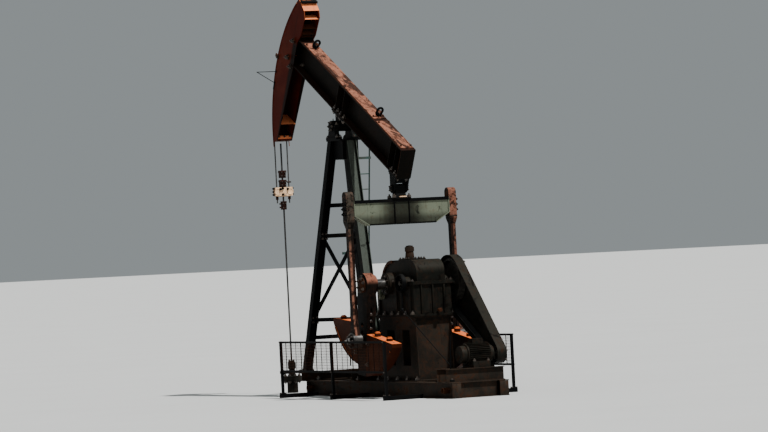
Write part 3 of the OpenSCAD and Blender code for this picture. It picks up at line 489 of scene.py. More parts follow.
# Its sunlit colour stays dark: painted shade that the upper flange casts on the lower one.
BEAM_PAINT = WeatheredPaint(
    "beam_paint", (0.0035, 0.0028, 0.002), (0.008, 0.0055, 0.004), (0.012, 0.005, 0.003), BLACK_OIL_AND_SHADE,
    (0.03, 0.013, 0.009), rusty=0.2, grimy=0.6, patch=0.8, turn=BEAM_TILT, sunlit_share=0.8, sunny=SUN_ON_BEAM)
BEAM_TOP = WeatheredPaint(
    "beam_top", (0.27, 0.1, 0.062), (0.42, 0.18, 0.115), (0.12, 0.045, 0.027), (0.015, 0.01, 0.008),
    (0.35, 0.145, 0.09), rusty=0.5, grimy=0.4, patch=0.5, turn=BEAM_TILT, sunny=SUN_ON_BEAM, stains=0.8)
# Painted shade: the left pitman's copy, dark above in the shadow of beam and equalizer, sunlit lower down.
PITMAN_SHADED = WeatheredPaint(
    "pitman_shaded", (0.004, 0.0035, 0.0025), (0.009, 0.0065, 0.005), (0.16, 0.07, 0.045), BLACK_OIL_AND_SHADE,
    (0.048, 0.04, 0.03), rusty=0.3, grimy=0.6, patch=0.32, sunlit_share=0.92, sunny=SUN_FROM_TAIL, stains=0.75,
    foot=(0.24, 0.105, 0.068), foot_at=(2.75, 3.15),
    # Its zone darkens part of the lower end to near black.
    oiled=(OilAndShadeZone((("Y", -1.12, -1.09), ("Z", 3.5, 3.3)), 0.9),))
# Painted sunlight: the right pitman's brighter copy of the same paint.
PITMAN_SUNLIT = WeatheredPaint(
    "pitman_sunlit", (0.01, 0.006, 0.004), (0.02, 0.011, 0.008), (0.1, 0.036, 0.016), BLACK_OIL_AND_SHADE,
    (0.25, 0.105, 0.07), rusty=0.35, grimy=0.6, patch=0.32, sunlit_share=0.92, sunny=SUN_FROM_TAIL, stains=0.7,
    # Its zones darken the lower end, part of it to near black.
    oiled=(OilAndShadeZone((("Y", 1.115, 1.085), ("Z", 3.55, 3.35)), 0.9), OilAndShadeZone((("Z", 3.6, 3.2),), 0.35)))
POST_BLACK = WeatheredPaint(
    "post_black", (0.0022, 0.0026, 0.003), (0.0045, 0.0045, 0.0045), (0.009, 0.005, 0.0035), BLACK_OIL_AND_SHADE,
    (0.014, 0.014, 0.013), rusty=0.14, grimy=0.5, patch=0.9, gloss=0.55)
# Its pink-brown top colour is painted sunlight on the faces towards the sun.
CRANK_BLACK = WeatheredPaint(
    "crank_black", (0.003, 0.003, 0.0028), (0.008, 0.0062, 0.005), (0.03, 0.012, 0.007), BLACK_OIL_AND_SHADE,
    (0.28, 0.105, 0.064), rusty=0.3, grimy=0.5, patch=0.5, sunlit_share=0.85, stains=0.6)
GREY_GREEN = WeatheredPaint(
    "grey_green", (0.11, 0.12, 0.08), (0.16, 0.175, 0.12), (0.09, 0.05, 0.025), (0.014, 0.017, 0.012),
    (0.135, 0.152, 0.112), rusty=0.16, grimy=0.5, patch=0.6, sunny=SUN_FROM_TAIL, stains=0.6)
PANEL_GREEN = replace(
    GREY_GREEN, name="panel_green", stains=0.4,
    oiled=(OilAndShadeZone((("Z", 3.56, 3.4),), 0.7), OilAndShadeZone((("Y", -0.62, -0.18), ("Y", 0.62, 0.18)), 0.85)))
# Its grey-green top colour is painted sunlight; the near-black paint is painted shade.
LEG_GREEN = WeatheredPaint(
    "leg_green", (0.004, 0.005, 0.0045), (0.009, 0.01, 0.009), (0.03, 0.018, 0.011), BLACK_OIL_AND_SHADE,
    (0.125, 0.145, 0.12), rusty=0.15, grimy=0.4, patch=0.6, sunny=SUN_FROM_TAIL, stains=0.35)
CASE_GREY = WeatheredPaint(
    "case_grey", (0.0065, 0.0068, 0.0055), (0.013, 0.0125, 0.01), (0.03, 0.013, 0.007), BLACK_OIL_AND_SHADE,
    (0.026, 0.024, 0.018), rusty=0.3, grimy=0.55, patch=0.5, stains=0.5)
BASE_GREY = WeatheredPaint(
    "base_grey", (0.014, 0.012, 0.0095), (0.026, 0.021, 0.016), (0.05, 0.02, 0.01), (0.01, 0.0085, 0.007),
    (0.065, 0.048, 0.035), rusty=0.42, grimy=0.4, patch=0.5, stains=0.4)
RAIL_GREEN = WeatheredPaint(
    "rail_green", (0.03, 0.06, 0.054), (0.05, 0.085, 0.076), (0.08, 0.034, 0.018), BLACK_OIL_AND_SHADE,
    (0.1, 0.14, 0.12), rusty=0.3, grimy=0.3, patch=0.4)
# Its pale top colour is painted sunlight.
TAN_CASTING = WeatheredPaint(
    "tan_casting", (0.32, 0.19, 0.11), (0.45, 0.28, 0.17), (0.16, 0.07, 0.036), (0.05, 0.026, 0.015),
    (0.9, 0.6, 0.36), rusty=0.32, grimy=0.3, patch=0.16, sunlit_share=0.95, sunny=SUN_FROM_TAIL)
CLAMP_BROWN = WeatheredPaint(
    "clamp_brown", (0.01, 0.005, 0.004), (0.022, 0.008, 0.006), (0.06, 0.014, 0.01), BLACK_OIL_AND_SHADE,
    (0.05, 0.016, 0.011), rusty=0.3, grimy=0.4, patch=0.2)
RUSTED = WeatheredPaint(
    "rusted_steel", (0.03, 0.012, 0.006), (0.055, 0.022, 0.011), (0.04, 0.014, 0.007), OIL,
    (0.13, 0.055, 0.03), rusty=0.5, grimy=0.4, patch=0.25)
BRIGHT_STEEL = OiledSteel("bright_steel", (0.13, 0.122, 0.11), (0.01, 0.008, 0.006), oily=0.8)
POLISHED = OiledSteel("polished_rod_steel", (0.07, 0.068, 0.065), (0.012, 0.01, 0.009), oily=0.95, metal=0.6)
FASTENER_STEEL = OiledSteel("fastener_steel", (0.09, 0.07, 0.055), (0.02, 0.013, 0.01), oily=0.7, metal=0.5)
ROPE_STEEL = WireRope("rope_steel", WORN_WIRE, GREASE)
WRAP_STEEL = WireRope("wrap_steel", WORN_WIRE, GREASE, turn=BEAM_TILT)
BELT_RUBBER = Rubber("belt_rubber", (0.012, 0.012, 0.012), (0.09, 0.08, 0.065))

NODE_FINISHES: dict[Finish, tuple[str, ...]] = {
    HEAD_RED: ("head_plate_left", "head_plate_right"),
    HEAD_CORE_SHADED: ("head_face", "head_ribs"),
    WEIGHT_RED: ("weights_left", "weights_right"),
    BEAM_PAINT: ("walking_beam",),
    BEAM_TOP: ("beam_caps",),
    PITMAN_SHADED: ("pitman_left",),
    PITMAN_SUNLIT: ("pitman_right",),
    POST_BLACK: ("front_leg_left", "front_leg_right", "post_braces", "post_head", "center_bearing",
                 "beam_saddle", "tail_bracket", "tail_bearing", "guard_left", "guard_right",
                 "guard_outriggers", "brake_drum", "head_rod_bracket"),
    CRANK_BLACK: ("crank_left", "crank_right"),
    GREY_GREEN: ("equalizer",),
    LEG_GREEN: ("rear_leg",),
    CASE_GREY: ("gear_case", "gear_cover", "belt_guard", "motor", "stuffing_box"),
    CLAMP_BROWN: ("rod_clamps",),
    BASE_GREY: ("base_rail_left", "base_rail_right", "base_cross_beams", "leg_bolsters", "gear_pedestal",
                "motor_stand"),
    RAIL_GREEN: ("ladder",),
    TAN_CASTING: ("carrier_bar",),
    BRIGHT_STEEL: ("crank_shaft", "wrist_bearings", "drive_sheaves"),
    POLISHED: ("polished_rod",),
    WRAP_STEEL: ("bridle_wrap",),
    ROPE_STEEL: ("bridle_ropes",),
    BELT_RUBBER: ("drive_belts",),
}


class Palette:
    """Makes each finish once and puts it on pieces."""

    def __init__(self) -> None:
        """Starts with no material made."""
        self._made: dict[str, bpy.types.Material] = {}

    def dress(self, piece: Piece, finish: Finish) -> None:
        """Gives a piece one finish in place of what it had.

        Args:
            piece: The object.
            finish: Its finish, whose material is made the first time.
        """
        if finish.name not in self._made:
            self._made[finish.name] = finish.material()
        piece.data.materials.clear()
        piece.data.materials.append(self._made[finish.name])


PALETTE = Palette()


class Bench:
    """The modelling bench: operators on one mesh at a time, with nothing else selected."""

    @staticmethod
    def clear() -> None:
        """Leaves edit mode and deselects everything."""
        if bpy.context.object and bpy.context.object.mode != "OBJECT":
            bpy.ops.object.mode_set(mode="OBJECT")
        bpy.ops.object.select_all(action="DESELECT")

    @staticmethod
    def take(*pieces: Piece) -> None:
        """Selects only these objects and makes the first one active."""
        Bench.clear()
        for piece in pieces:
            piece.select_set(True)
        bpy.context.view_layer.objects.active = pieces[0]

    @staticmethod
    def applied() -> Piece:
        """Moves the active object's place, turn and size into its mesh, and returns it."""
        bpy.ops.object.transform_apply(location=True, rotation=True, scale=True)
        return bpy.context.object

    @staticmethod
    def moved(piece: Piece, to: Matrix) -> Piece:
        """Moves the mesh of an object and returns the object."""
        piece.data.transform(to)
        return piece

    @staticmethod
    def box(size: Point, centre: Point = (0, 0, 0)) -> Piece:
        """Adds a block.

        Args:
            size: Edge lengths.
            centre: Middle of the block.

        Returns:
            The block.
        """
        Bench.clear()
        bpy.ops.mesh.primitive_cube_add(size=1.0, location=centre)
        bpy.context.object.scale = size
        return Bench.applied()

    @staticmethod
    def rod(radius: float, low: Point, high: Point, sides: int = 24) -> Piece:
        """Adds a round bar between two points.

        Args:
            radius: Its radius.
            low: Middle of one end.
            high: Middle of the other end.
            sides: Number of its sides.

        Returns:
            The bar.
        """
        a, b = Vector(low), Vector(high)
        Bench.clear()
        bpy.ops.mesh.primitive_cylinder_add(vertices=sides, radius=radius, depth=(b - a).length,
                                            location=(a + b) / 2)
        piece = bpy.context.object
        piece.rotation_mode = "QUATERNION"
        piece.rotation_quaternion = Vector((0, 0, 1)).rotation_difference((b - a).normalized())
        return Bench.applied()

    @staticmethod
    def loop(radius: float, sides: int, centre: Point) -> Piece:
        """Adds the outline of a circle that lies level.

        Args:
            radius: Its radius.
            sides: Number of its sides.
            centre: Its middle.

        Returns:
            The outline.
        """
        Bench.clear()
        bpy.ops.mesh.primitive_circle_add(vertices=sides, radius=radius, fill_type="NOTHING", location=centre)
        return Bench.applied()

    @staticmethod
    def ring(inner: float, outer: float, thickness: float, sides: int) -> Piece:
        """Adds a flat ring that stands on z = 0 about the origin.

        Args:
            inner: Radius of its hole.
            outer: Outer radius.
            thickness: Height.
            sides: Number of its sides.

        Returns:
            The ring.
        """
        middle = (0, 0, thickness / 2)
        piece = Bench.loop(outer, sides, middle)
        bpy.ops.object.mode_set(mode="EDIT")
        bpy.ops.mesh.select_mode(type="EDGE")
        bpy.ops.mesh.select_all(action="SELECT")
        bpy.ops.mesh.extrude_edges_move(TRANSFORM_OT_translate={"value": (0, 0, 0)})
        bpy.ops.transform.resize(value=(inner / outer, inner / outer, 1), center_override=middle)
        bpy.ops.object.mode_set(mode="OBJECT")
        return Bench.modified(piece, "SOLIDIFY", thickness=thickness, offset=0)

    @staticmethod
    def modified(piece: Piece, kind: str, **settings: object) -> Piece:
        """Applies a modifier.

        Args:
            piece: The object.
            kind: Type of the modifier.
            settings: Its properties.

        Returns:
            The object.
        """
        Bench.take(piece)
        modifier = piece.modifiers.new(kind.lower(), kind)
        for name, value in settings.items():
            setattr(modifier, name, value)
        bpy.ops.object.modifier_apply(modifier=modifier.name)
        return piece

    @staticmethod
    def soften(piece: Piece, width: float, segments: int = 2) -> Piece:
        """Rounds the sharp edges with an applied bevel.

        Args:
            piece: The object.
            width: Width of the rounding.
            segments: Number of its steps.

        Returns:
            The object.
        """
        Bench.modified(piece, "BEVEL", width=width, segments=segments, limit_method="ANGLE",
                       angle_limit=BEVEL_FROM)
        bpy.ops.object.shade_smooth_by_angle(angle=SMOOTH_UNDER)
        return piece

    @staticmethod
    def join(parts: Sequence[Piece]) -> Piece:
        """Joins several objects into the first.

        Args:
            parts: The objects.

        Returns:
            The joined object, selected and active.
        """
        Bench.take(*parts)
        if len(parts) > 1:
            bpy.ops.object.join()
        return parts[0]

    @staticmethod
    def copies(master: Piece, places: Iterable[Matrix], keep: bool = False) -> Piece:
        """Copies a modelled shape to several places and joins the copies.

        Args:
            master: The shape, modelled about the origin.
            places: Where its copies go.
            keep: Whether the master stays for later use.

        Returns:
            One object with all the copies.
        """
        made = []
        for to in places:
            twin = master.copy()
            twin.data = master.data.copy()
            bpy.context.scene.collection.objects.link(twin)
            made.append(Bench.moved(twin, to))
        if not keep:
            bpy.data.objects.remove(master, do_unlink=True)
        return Bench.join(made)


class Edit:
    """Work in edit mode on the faces of one piece that look one way or pass a test."""

    def __init__(self, piece: Piece, wanted: Facing | FaceTest) -> None:
        """Goes into edit mode with those faces selected.

        Args:
            piece: The object.
            wanted: Where the faces look, or a test on a face's middle and normal.
        """
        self.piece = piece
        aim = wanted.value.to_3x3() @ Vector((0, 0, 1)) if isinstance(wanted, Facing) else None
        Bench.take(piece)
        bpy.ops.object.mode_set(mode="EDIT")
        bpy.ops.mesh.select_mode(type="FACE")
        bpy.ops.mesh.select_all(action="DESELECT")
        bpy.ops.object.mode_set(mode="OBJECT")
        for face in piece.data.polygons:
            face.select = face.normal.dot(aim) > SQUARE_ON if aim else wanted(face.center, face.normal)
        bpy.ops.object.mode_set(mode="EDIT")

    def inset(self, width: float, rise: float = 0.0, each: bool = False) -> Edit:
        """Insets the faces by a width and lifts them by a rise, together or each for itself."""
        bpy.ops.mesh.inset(thickness=width, depth=rise, use_boundary=True, use_individual=each)
        return self

    def extrude(self, *move: float) -> Edit:
        """Extrudes the faces along a vector."""
        bpy.ops.mesh.extrude_region_move(TRANSFORM_OT_translate={"value": move})
        return self

    def swell(self, factors: Point, centre: Point) -> Edit:
        """Resizes the faces about a point."""
        bpy.ops.transform.resize(value=factors, center_override=centre)
        return self

    def spin(self, steps: int, degrees: float, way: int) -> Edit:
        """Sweeps the faces about Y, or about -Y where the way is -1."""
        bpy.ops.mesh.spin(steps=steps, angle=math.radians(degrees), center=(0, 0, 0), axis=(0, way, 0))
        return self

    def done(self, soft: float = 0.0, segments: int = 2) -> Piece:
        """Goes back to object mode and rounds the piece's edges by a width, if any."""
        bpy.ops.object.mode_set(mode="OBJECT")
        return Bench.soften(self.piece, soft, segments) if soft else self.piece


def place(point: Point, facing: Facing = Facing.UP, spin: float = 0.0, scale: float = 1.0) -> Matrix:
    """A place for a copy, from its origin, where its +Z goes, its turn in radians and its size."""
    return (Matrix.Translation(point) @ facing.value @ Matrix.Rotation(spin, 4, "Z")
            @ Matrix.Diagonal((scale, scale, scale, 1.0)))


def outward(side: int) -> Facing:
    """The facing of a surface on one side that looks away from the centre plane."""
    return Facing.RIGHT if side > 0 else Facing.LEFT


def sideways(points: Iterable[Point], spin: float = 0.0, scale: float = 1.0) -> list[Matrix]:
    """Places that look away from the centre plane on both sides, from points on the right one."""
    points = list(points)
    return [place((x, side * y, z), outward(side), spin, scale) for side in SIDES for x, y, z in points]


def spread(start: float, end: float, count: int) -> list[float]:
    """Evenly spaced values, both ends included."""
    return [start + (end - start) * k / (count - 1) for k in range(count)]


def grid(xs: Iterable[float], ys: Iterable[float], zs: Iterable[float]) -> list[Point]:
    """Every point of a grid of stations along X, Y and Z."""
    return list(product(xs, ys, zs))


def circle(centre: Point, radius: float, count: int, start: float = 0.0) -> list[Point]:
    """Points on a circle about an axis along Y, from a start angle in radians."""
    angles = [start + math.tau * k / count for k in range(count)]
    return [(centre[0] + radius * math.cos(a), centre[1], centre[2] + radius * math.sin(a)) for a in angles]


def soft(parts: Iterable[Piece], width: float, segments: int = 2) -> list[Piece]:
    """Rounds the sharp edges of several objects."""
    return [Bench.soften(part, width, segments) for part in parts]


@dataclass(frozen=True)
class EndCover:
    """A round cover with a raised middle over the end of a shaft, on both sides.

    Attributes:
        radius: Its radius.
        low: Its inner face from the centre plane.
        high: Its outer face from the centre plane.
        rims: Borders towards the middle, each with the rise after it.
        sides: Number of its sides.
        rounding: Width of its rounded edges.
    """

    radius: float
    low: float
    high: float
    rims: Pairs
    sides: int
    rounding: float

    def model(self, z: float = 0.0) -> list[Piece]:
        """Models both covers.

        Args:
            z: Height of the shaft.

        Returns:
            The covers, left side first.
        """
        covers = []
        for side in SIDES:
            cover = Bench.rod(self.radius, (0, side * self.low, z), (0, side * self.high, z), self.sides)
            edit = Edit(cover, outward(side))
            for width, rise in self.rims:
                edit.inset(width, rise)
            covers.append(edit.done(self.rounding))
        return covers


@dataclass(frozen=True)
class HexBolt:
    """A hexagon nut on its washer, with the end of the stud above it.

    Attributes:
        corner: Radius to the nut's corners.
        height: Height of the nut.
        reach: Height of the stud above the nut.
        lift: Height of the nut's underside.
    """

    corner: float
    height: float
    reach: float
    lift: float = 0.005

    def model(self) -> Piece:
        """Models the bolt standing on z = 0.

        Returns:
            The bolt.
        """
        top = self.lift + self.height
        nut = Bench.rod(self.corner, (0, 0, self.lift), (0, 0, top), 6)
        Edit(nut, Facing.UP)
        bpy.ops.mesh.bevel(offset=self.corner * 0.12, segments=1, affect="EDGES")
        edit = Edit(nut, lambda c, n: n.z > SQUARE_ON and c.z > top - 1e-4)
        nut = edit.inset(self.corner * 0.38).extrude(0, 0, self.reach).done()
        return Bench.join([nut, Bench.rod(self.corner * 1.12, (0, 0, -0.002), (0, 0, 0.006), 16)])


class Size(Enum):
    """The bolts that are used, by size."""

    LARGE = HexBolt(0.042, 0.036, 0.03)
    MEDIUM = HexBolt(0.03, 0.026, 0.02)
    SMALL = HexBolt(0.02, 0.017, 0.012)


class BoltBox:
    """Bolts of a few sizes, each modelled once and copied."""

    def __init__(self) -> None:
        """Models the masters."""
        self._masters = {size: size.value.model() for size in Size}

    def set_out(self, size: Size, places: Iterable[Matrix]) -> Piece:
        """Copies one bolt to several places, as one object."""
        return Bench.copies(self._masters[size], places, keep=True)

    def empty(self) -> None:
        """Deletes the masters."""
        for master in self._masters.values():
            bpy.data.objects.remove(master, do_unlink=True)


@dataclass(frozen=True)
class Home:
    """What the pieces of a sub-assembly share.

    Attributes:
        body: The body that carries them.
        slot: The frame's material slot of most of them.
        frame: The frame in which they are modelled.
    """

    body: Body
    slot: str
    frame: Matrix


@dataclass
class Assembly:
    """A sub-assembly whose pieces ride on one body.

    Attributes:
        bolts: The bolts to copy from.
        home: Its body, slot and frame.
    """

    bolts: BoltBox
    home: Home = Home(Body.ROOT, "grey_paint", AT_GROUND)

    def add(self, name: str, finish: Finish, parts: Iterable[Piece], slot: str = "",
            hung: bool = True) -> Piece:
        """Joins parts to a piece, puts it in place, dresses it and hangs it on its body.

        Args:
            name: Name of the piece.
            finish: Its finish.
            parts: The modelled objects.
            slot: Its material slot, where it isn't the assembly's own; not used.
            hung: Whether it rides on the assembly's body; if not, it is left without one.

        Returns:
            The piece.
        """
        body, slot = self.home.body, slot or self.home.slot
        piece = Bench.moved(Bench.join(list(parts)), self.home.frame)
        bpy.ops.object.mode_set(mode="EDIT")
        bpy.ops.mesh.select_all(action="SELECT")
        bpy.ops.mesh.normals_make_consistent(inside=False)
        bpy.ops.object.mode_set(mode="OBJECT")
        piece.name = name
        piece.data.name = name
        PALETTE.dress(piece, finish)
        if hung:
            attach(piece, body.value)
        LOG.info("%s: %d faces on %s", name, len(piece.data.polygons), body.value if hung else "two bodies")
        return piece

    def bolt(self, name: str, size: Size, places: Iterable[Matrix], finish: Finish = FASTENER_STEEL,
             slot: str = "") -> None:
        """Adds bolts at given places as one piece."""
        self.add(name, finish, [self.bolts.set_out(size, places)], slot)

    def row(self, name: str, size: Size, facing: Facing, points: Iterable[Point], scale: float = 1.0,
            **looks: object) -> None:
        """Adds bolts that all face the same way, each turned a little differently, as one piece."""
        self.bolt(name, size, [place(p, facing, 0.7 * k, scale) for k, p in enumerate(points)], **looks)

    def build(self) -> None:
        """Models every piece."""
        raise NotImplementedError


@dataclass
class Base(Assembly):
    """Clamps, closing plates and drag pipes of the base.

    Attributes:
        rail_y: Middle of a rail from the centre line.
        rail_top: Top of the rails.
        ends: Both ends of the rails along X.
        pipe_xs: Where the drag pipes cross.
        pipe_y: Half the length of a drag pipe.
        flange: Rows and top of the gear pedestal's flange.
    """

    rail_y: float = 0.5
    rail_top: float = 0.3
    ends: tuple[float, float] = (-1.0, 5.5)
    pipe_xs: tuple[float, float] = (-0.86, 5.16)
    pipe_y: float = 0.64
    flange: tuple[float, float] = (0.43, 0.325)

    def build(self) -> None:
        """Models the base's small pieces."""
        rails, middle = (-self.rail_y, self.rail_y), self.rail_top / 2
        clamps = [x + s for x in (FRONT_FOOT, REAR_FOOT) for s in (-0.066, 0.066)]
        self.row("bolster_bolts", Size.LARGE, Facing.UP, grid(clamps, rails, (self.rail_top + 0.016,)))
        y, z = self.flange
        self.row("pedestal_bolts", Size.LARGE, Facing.UP, grid(spread(2.01, 3.7, 5), (-y, y), (z,)))
        plates = [Bench.box((0.012, 0.186, 0.262), (x - math.copysign(0.008, x), y, middle))
                  for x, y in product(self.ends, rails)]
        self.add("rail_end_plates", BASE_GREY, soft(plates, 0.004))
        pipes = []
        for x in self.pipe_xs:
            pipe = Bench.rod(0.057, (x, -self.pipe_y, middle), (x, self.pipe_y, middle), 28)
            ends = Edit(pipe, lambda c, n: abs(n.y) > SQUARE_ON)
            pipes.append(ends.inset(0.008, each=True).inset(0.001, -0.05, each=True).done(0.002, 1))
        self.add("drag_pipes", RUSTED, pipes)


@dataclass
class SamsonPost(Assembly):
    """Bolts, bearing caps, ladder clips and grease line of the post.

    Attributes:
        foot_z: Underside of the legs.
        head_z: Upper end of the legs.
        foot_y: Middle of a front foot from the centre line.
        head: Upper end of the right front leg's middle line in X and Y.
        plate_top: Top of the foot plates.
        bearing_y: Middle of a bearing housing from the centre line.
        cover: End covers of the centre bearing.
        clip_zs: Heights of the ladder's brackets.
        clip_ys: Both stiles of the ladder.
        gusset_zs: Heights of the gussets of the braces.
        seat_z: Top of the bearing's feet.
    """

    home: Home = Home(Body.ROOT, "black_steel", AT_GROUND)
    foot_z: float = 0.48
    head_z: float = 5.015
    foot_y: float = 0.7
    head: tuple[float, float] = (-0.125, 0.16)
    plate_top: float = 0.502
    bearing_y: float = 0.185
    cover: EndCover = EndCover(0.104, 0.232, 0.25, ((0.03, 0.0), (0.006, 0.014)), 36, 0.003)
    clip_zs: tuple[float, ...] = (1.14, 2.79, 4.665)
    clip_ys: tuple[float, float] = (0.345, 0.695)
    gusset_zs: tuple[float, float] = (1.5, 3.15)
    seat_z: float = 5.085

    def on_leg(self, z: float) -> tuple[float, float]:
        """X and Y of the right front leg's middle line at a height."""
        (x, y), k = self.head, (z - self.foot_z) / (self.head_z - self.foot_z)
        return FRONT_FOOT + (x - FRONT_FOOT) * k, self.foot_y + (y - self.foot_y) * k

    def build(self) -> None:
        """Models the post's small pieces."""
        corners = list(product(SIDES, repeat=2))
        feet = [(FRONT_FOOT + i * 0.082, y + j * 0.086, self.plate_top)
                for y in (self.foot_y, -self.foot_y) for i, j in corners]
        feet += [(REAR_FOOT + i * 0.086, j * 0.115, self.plate_top) for i, j in corners]
        self.row("foot_bolts", Size.MEDIUM, Facing.UP, feet, 0.8)
        gussets, clips = [], []
        for z, side in product(self.gusset_zs, SIDES):
            x, y = self.on_leg(z)
            gussets += grid((x + 0.101,), (side * (y - 0.04), side * (y + 0.04)), (z - 0.045, z + 0.045))
        self.row("gusset_bolts", Size.SMALL, Facing.TAIL, gussets)
        seats = grid((-0.215, 0.215), (-0.222, -0.15, 0.15, 0.222), (self.seat_z,))
        self.row("bearing_foot_bolts", Size.MEDIUM, Facing.UP, seats)
        self._bearing_caps()
        for z in self.clip_zs:
            clips += grid((self.on_leg(z)[0] - 0.135,), self.clip_ys, (z,))
        self.row("ladder_clip_bolts", Size.SMALL, Facing.WELL, clips, slot="grey_paint")
        self._grease_line()

    def _bearing_caps(self) -> None:
        """Models end caps, split ears and nipples of the centre bearing."""
        z, parts = BEARING.z, self.cover.model(BEARING.z)
        for side in SIDES:
            y = side * self.bearing_y
            parts += soft([Bench.box((0.09, 0.096, 0.05), (end * 0.13, y, z)) for end in SIDES], 0.01)
            nipple = Bench.rod(0.009, (0, y, z + 0.09), (0, y, z + 0.142), 12)
            parts.append(Edit(nipple, Facing.UP).inset(0.003).extrude(0, 0, 0.012).done())
        self.add("bearing_caps", POST_BLACK, parts)
        self.bolt("bearing_cap_bolts", Size.SMALL, sideways(circle((0, self.cover.high, z), 0.086, 6), 0.3))
        ears = grid((-0.145, 0.145), (-self.bearing_y, self.bearing_y), (z + 0.025,))
        self.row("bearing_ear_bolts", Size.MEDIUM, Facing.UP, ears)

    def _grease_line(self) -> None:
        """Models the grease pipe up the rear leg to the centre bearing, with its clips."""
        (x0, y, z0), (x1, _, z1), top = (1.095, 0.095, 0.9), (0.315, 0.095, 4.6), (0.14, 0.24, 5.28)
        parts = [Bench.rod(0.009, (x0, y, z0), (x1, y, z1), 10), Bench.rod(0.009, (x1, y, z1), top, 10)]
        clips = [Bench.box((0.05, 0.03, 0.02), (x0 + (x1 - x0) * (z - z0) / (z1 - z0), y - 0.005, z))
                 for z in spread(1.3, 4.3, 4)]
        self.add("grease_line", RAIL_GREEN, parts + soft(clips, 0.004), "grey_paint")


@dataclass
class Beam(Assembly):
    """Bolts, shackles and welds of the walking beam.

    Attributes:
        low: Upper face of the lower flange.
        top: Upper face of the upper flange.
        bolt_y: Rows of bolts from the centre line.
        caps: Both ends of each cap along the beam.
        eyes: Where the lifting eyes are along the beam, each with the lean of its shackle.
        saddle: Bolts of the saddle along the beam.
        bracket: Bolts of the tail bracket along the beam.
        web: Bolts through the web in the beam's X and Z.
        end_x: End plate along the beam.
    """

    home: Home = Home(Body.BEAM, "black_steel", AT_BEAM)
    low: float = 0.289
    top: float = 0.875
    bolt_y: float = 0.105
    caps: Pairs = ((-1.95, 1.5), (1.62, 2.8))
    eyes: Pairs = ((-1.69, 0.5), (1.425, 0.35))
    saddle: tuple[float, ...] = (-0.225, -0.07, 0.07, 0.225)
    bracket: tuple[float, ...] = (2.53, 2.7, 2.8)
    web: Pairs = ((-2.07, 0.8), (-2.07, 0.36))
    end_x: float = 2.86

    def build(self) -> None:
        """Models the beam's small pieces."""
        rows = (-self.bolt_y, self.bolt_y)
        self.row("saddle_bolts", Size.LARGE, Facing.UP, grid(self.saddle + self.bracket, rows, (self.low,)))
        nuts = grid(self.saddle, rows, (self.low - 0.054,)) + grid(self.bracket, rows, (self.low - 0.052,))
        self.row("saddle_nuts", Size.LARGE, Facing.DOWN, nuts)
        self.bolt("web_bolts", Size.LARGE, sideways([(u, 0.0075, w) for u, w in self.web], 0.2))
        caps = grid((-1.88, 1.42, 1.69, 2.73), rows, (self.top + 0.02,))
        self.row("cap_bolts", Size.SMALL, Facing.UP, caps, finish=RUSTED, slot="rusted_red")
        self._shackles()
        self._welds()
        web = Edit(Bench.box((0.022, 0.23, 0.1), (2.785, 0, 0.176)), Facing.TAIL)
        self.add("bracket_web", POST_BLACK, [web.inset(0.02).inset(0.005, -0.005).done(0.002, 1)])

    def _shackles(self) -> None:
        """Models the shackle that stands in each lifting eye."""
        bows = []
        for u, lean in self.eyes:
            Bench.clear()
            bpy.ops.mesh.primitive_torus_add(major_radius=0.055, minor_radius=0.023, major_segments=32,
                                             minor_segments=12, location=(0, 0, 0))
            bow = Edit(bpy.context.object, lambda c, n: c.x > 0.0)
            bpy.ops.transform.translate(value=(0.05, 0, 0))
            bow = Bench.moved(bow.done(), place((u, 0.0, self.top + 0.1), Facing.WELL, lean))
            pin = Bench.rod(0.016, (u - 0.06, 0, self.top + 0.075), (u + 0.06, 0, self.top + 0.075), 14)
            bows += [bow, Bench.soften(pin, 0.003)]
        self.add("lifting_shackles", POST_BLACK, bows)

    def _welds(self) -> None:
        """Models the weld beads along the caps and down the end plate."""
        y, z = 0.131, self.top + 0.002
        beads = [Bench.rod(0.008, (low, side * y, z), (high, side * y, z), 8)
                 for (low, high), side in product(self.caps, SIDES)]
        beads = soft(beads, 0.002, 1)
        u = self.end_x
        beads += [Bench.rod(0.007, (u, y, 0.27), (u, y, 0.87), 8) for y in (-0.148, 0.148)]
        self.add("cap_welds", RUSTED, beads, "rusted_red")


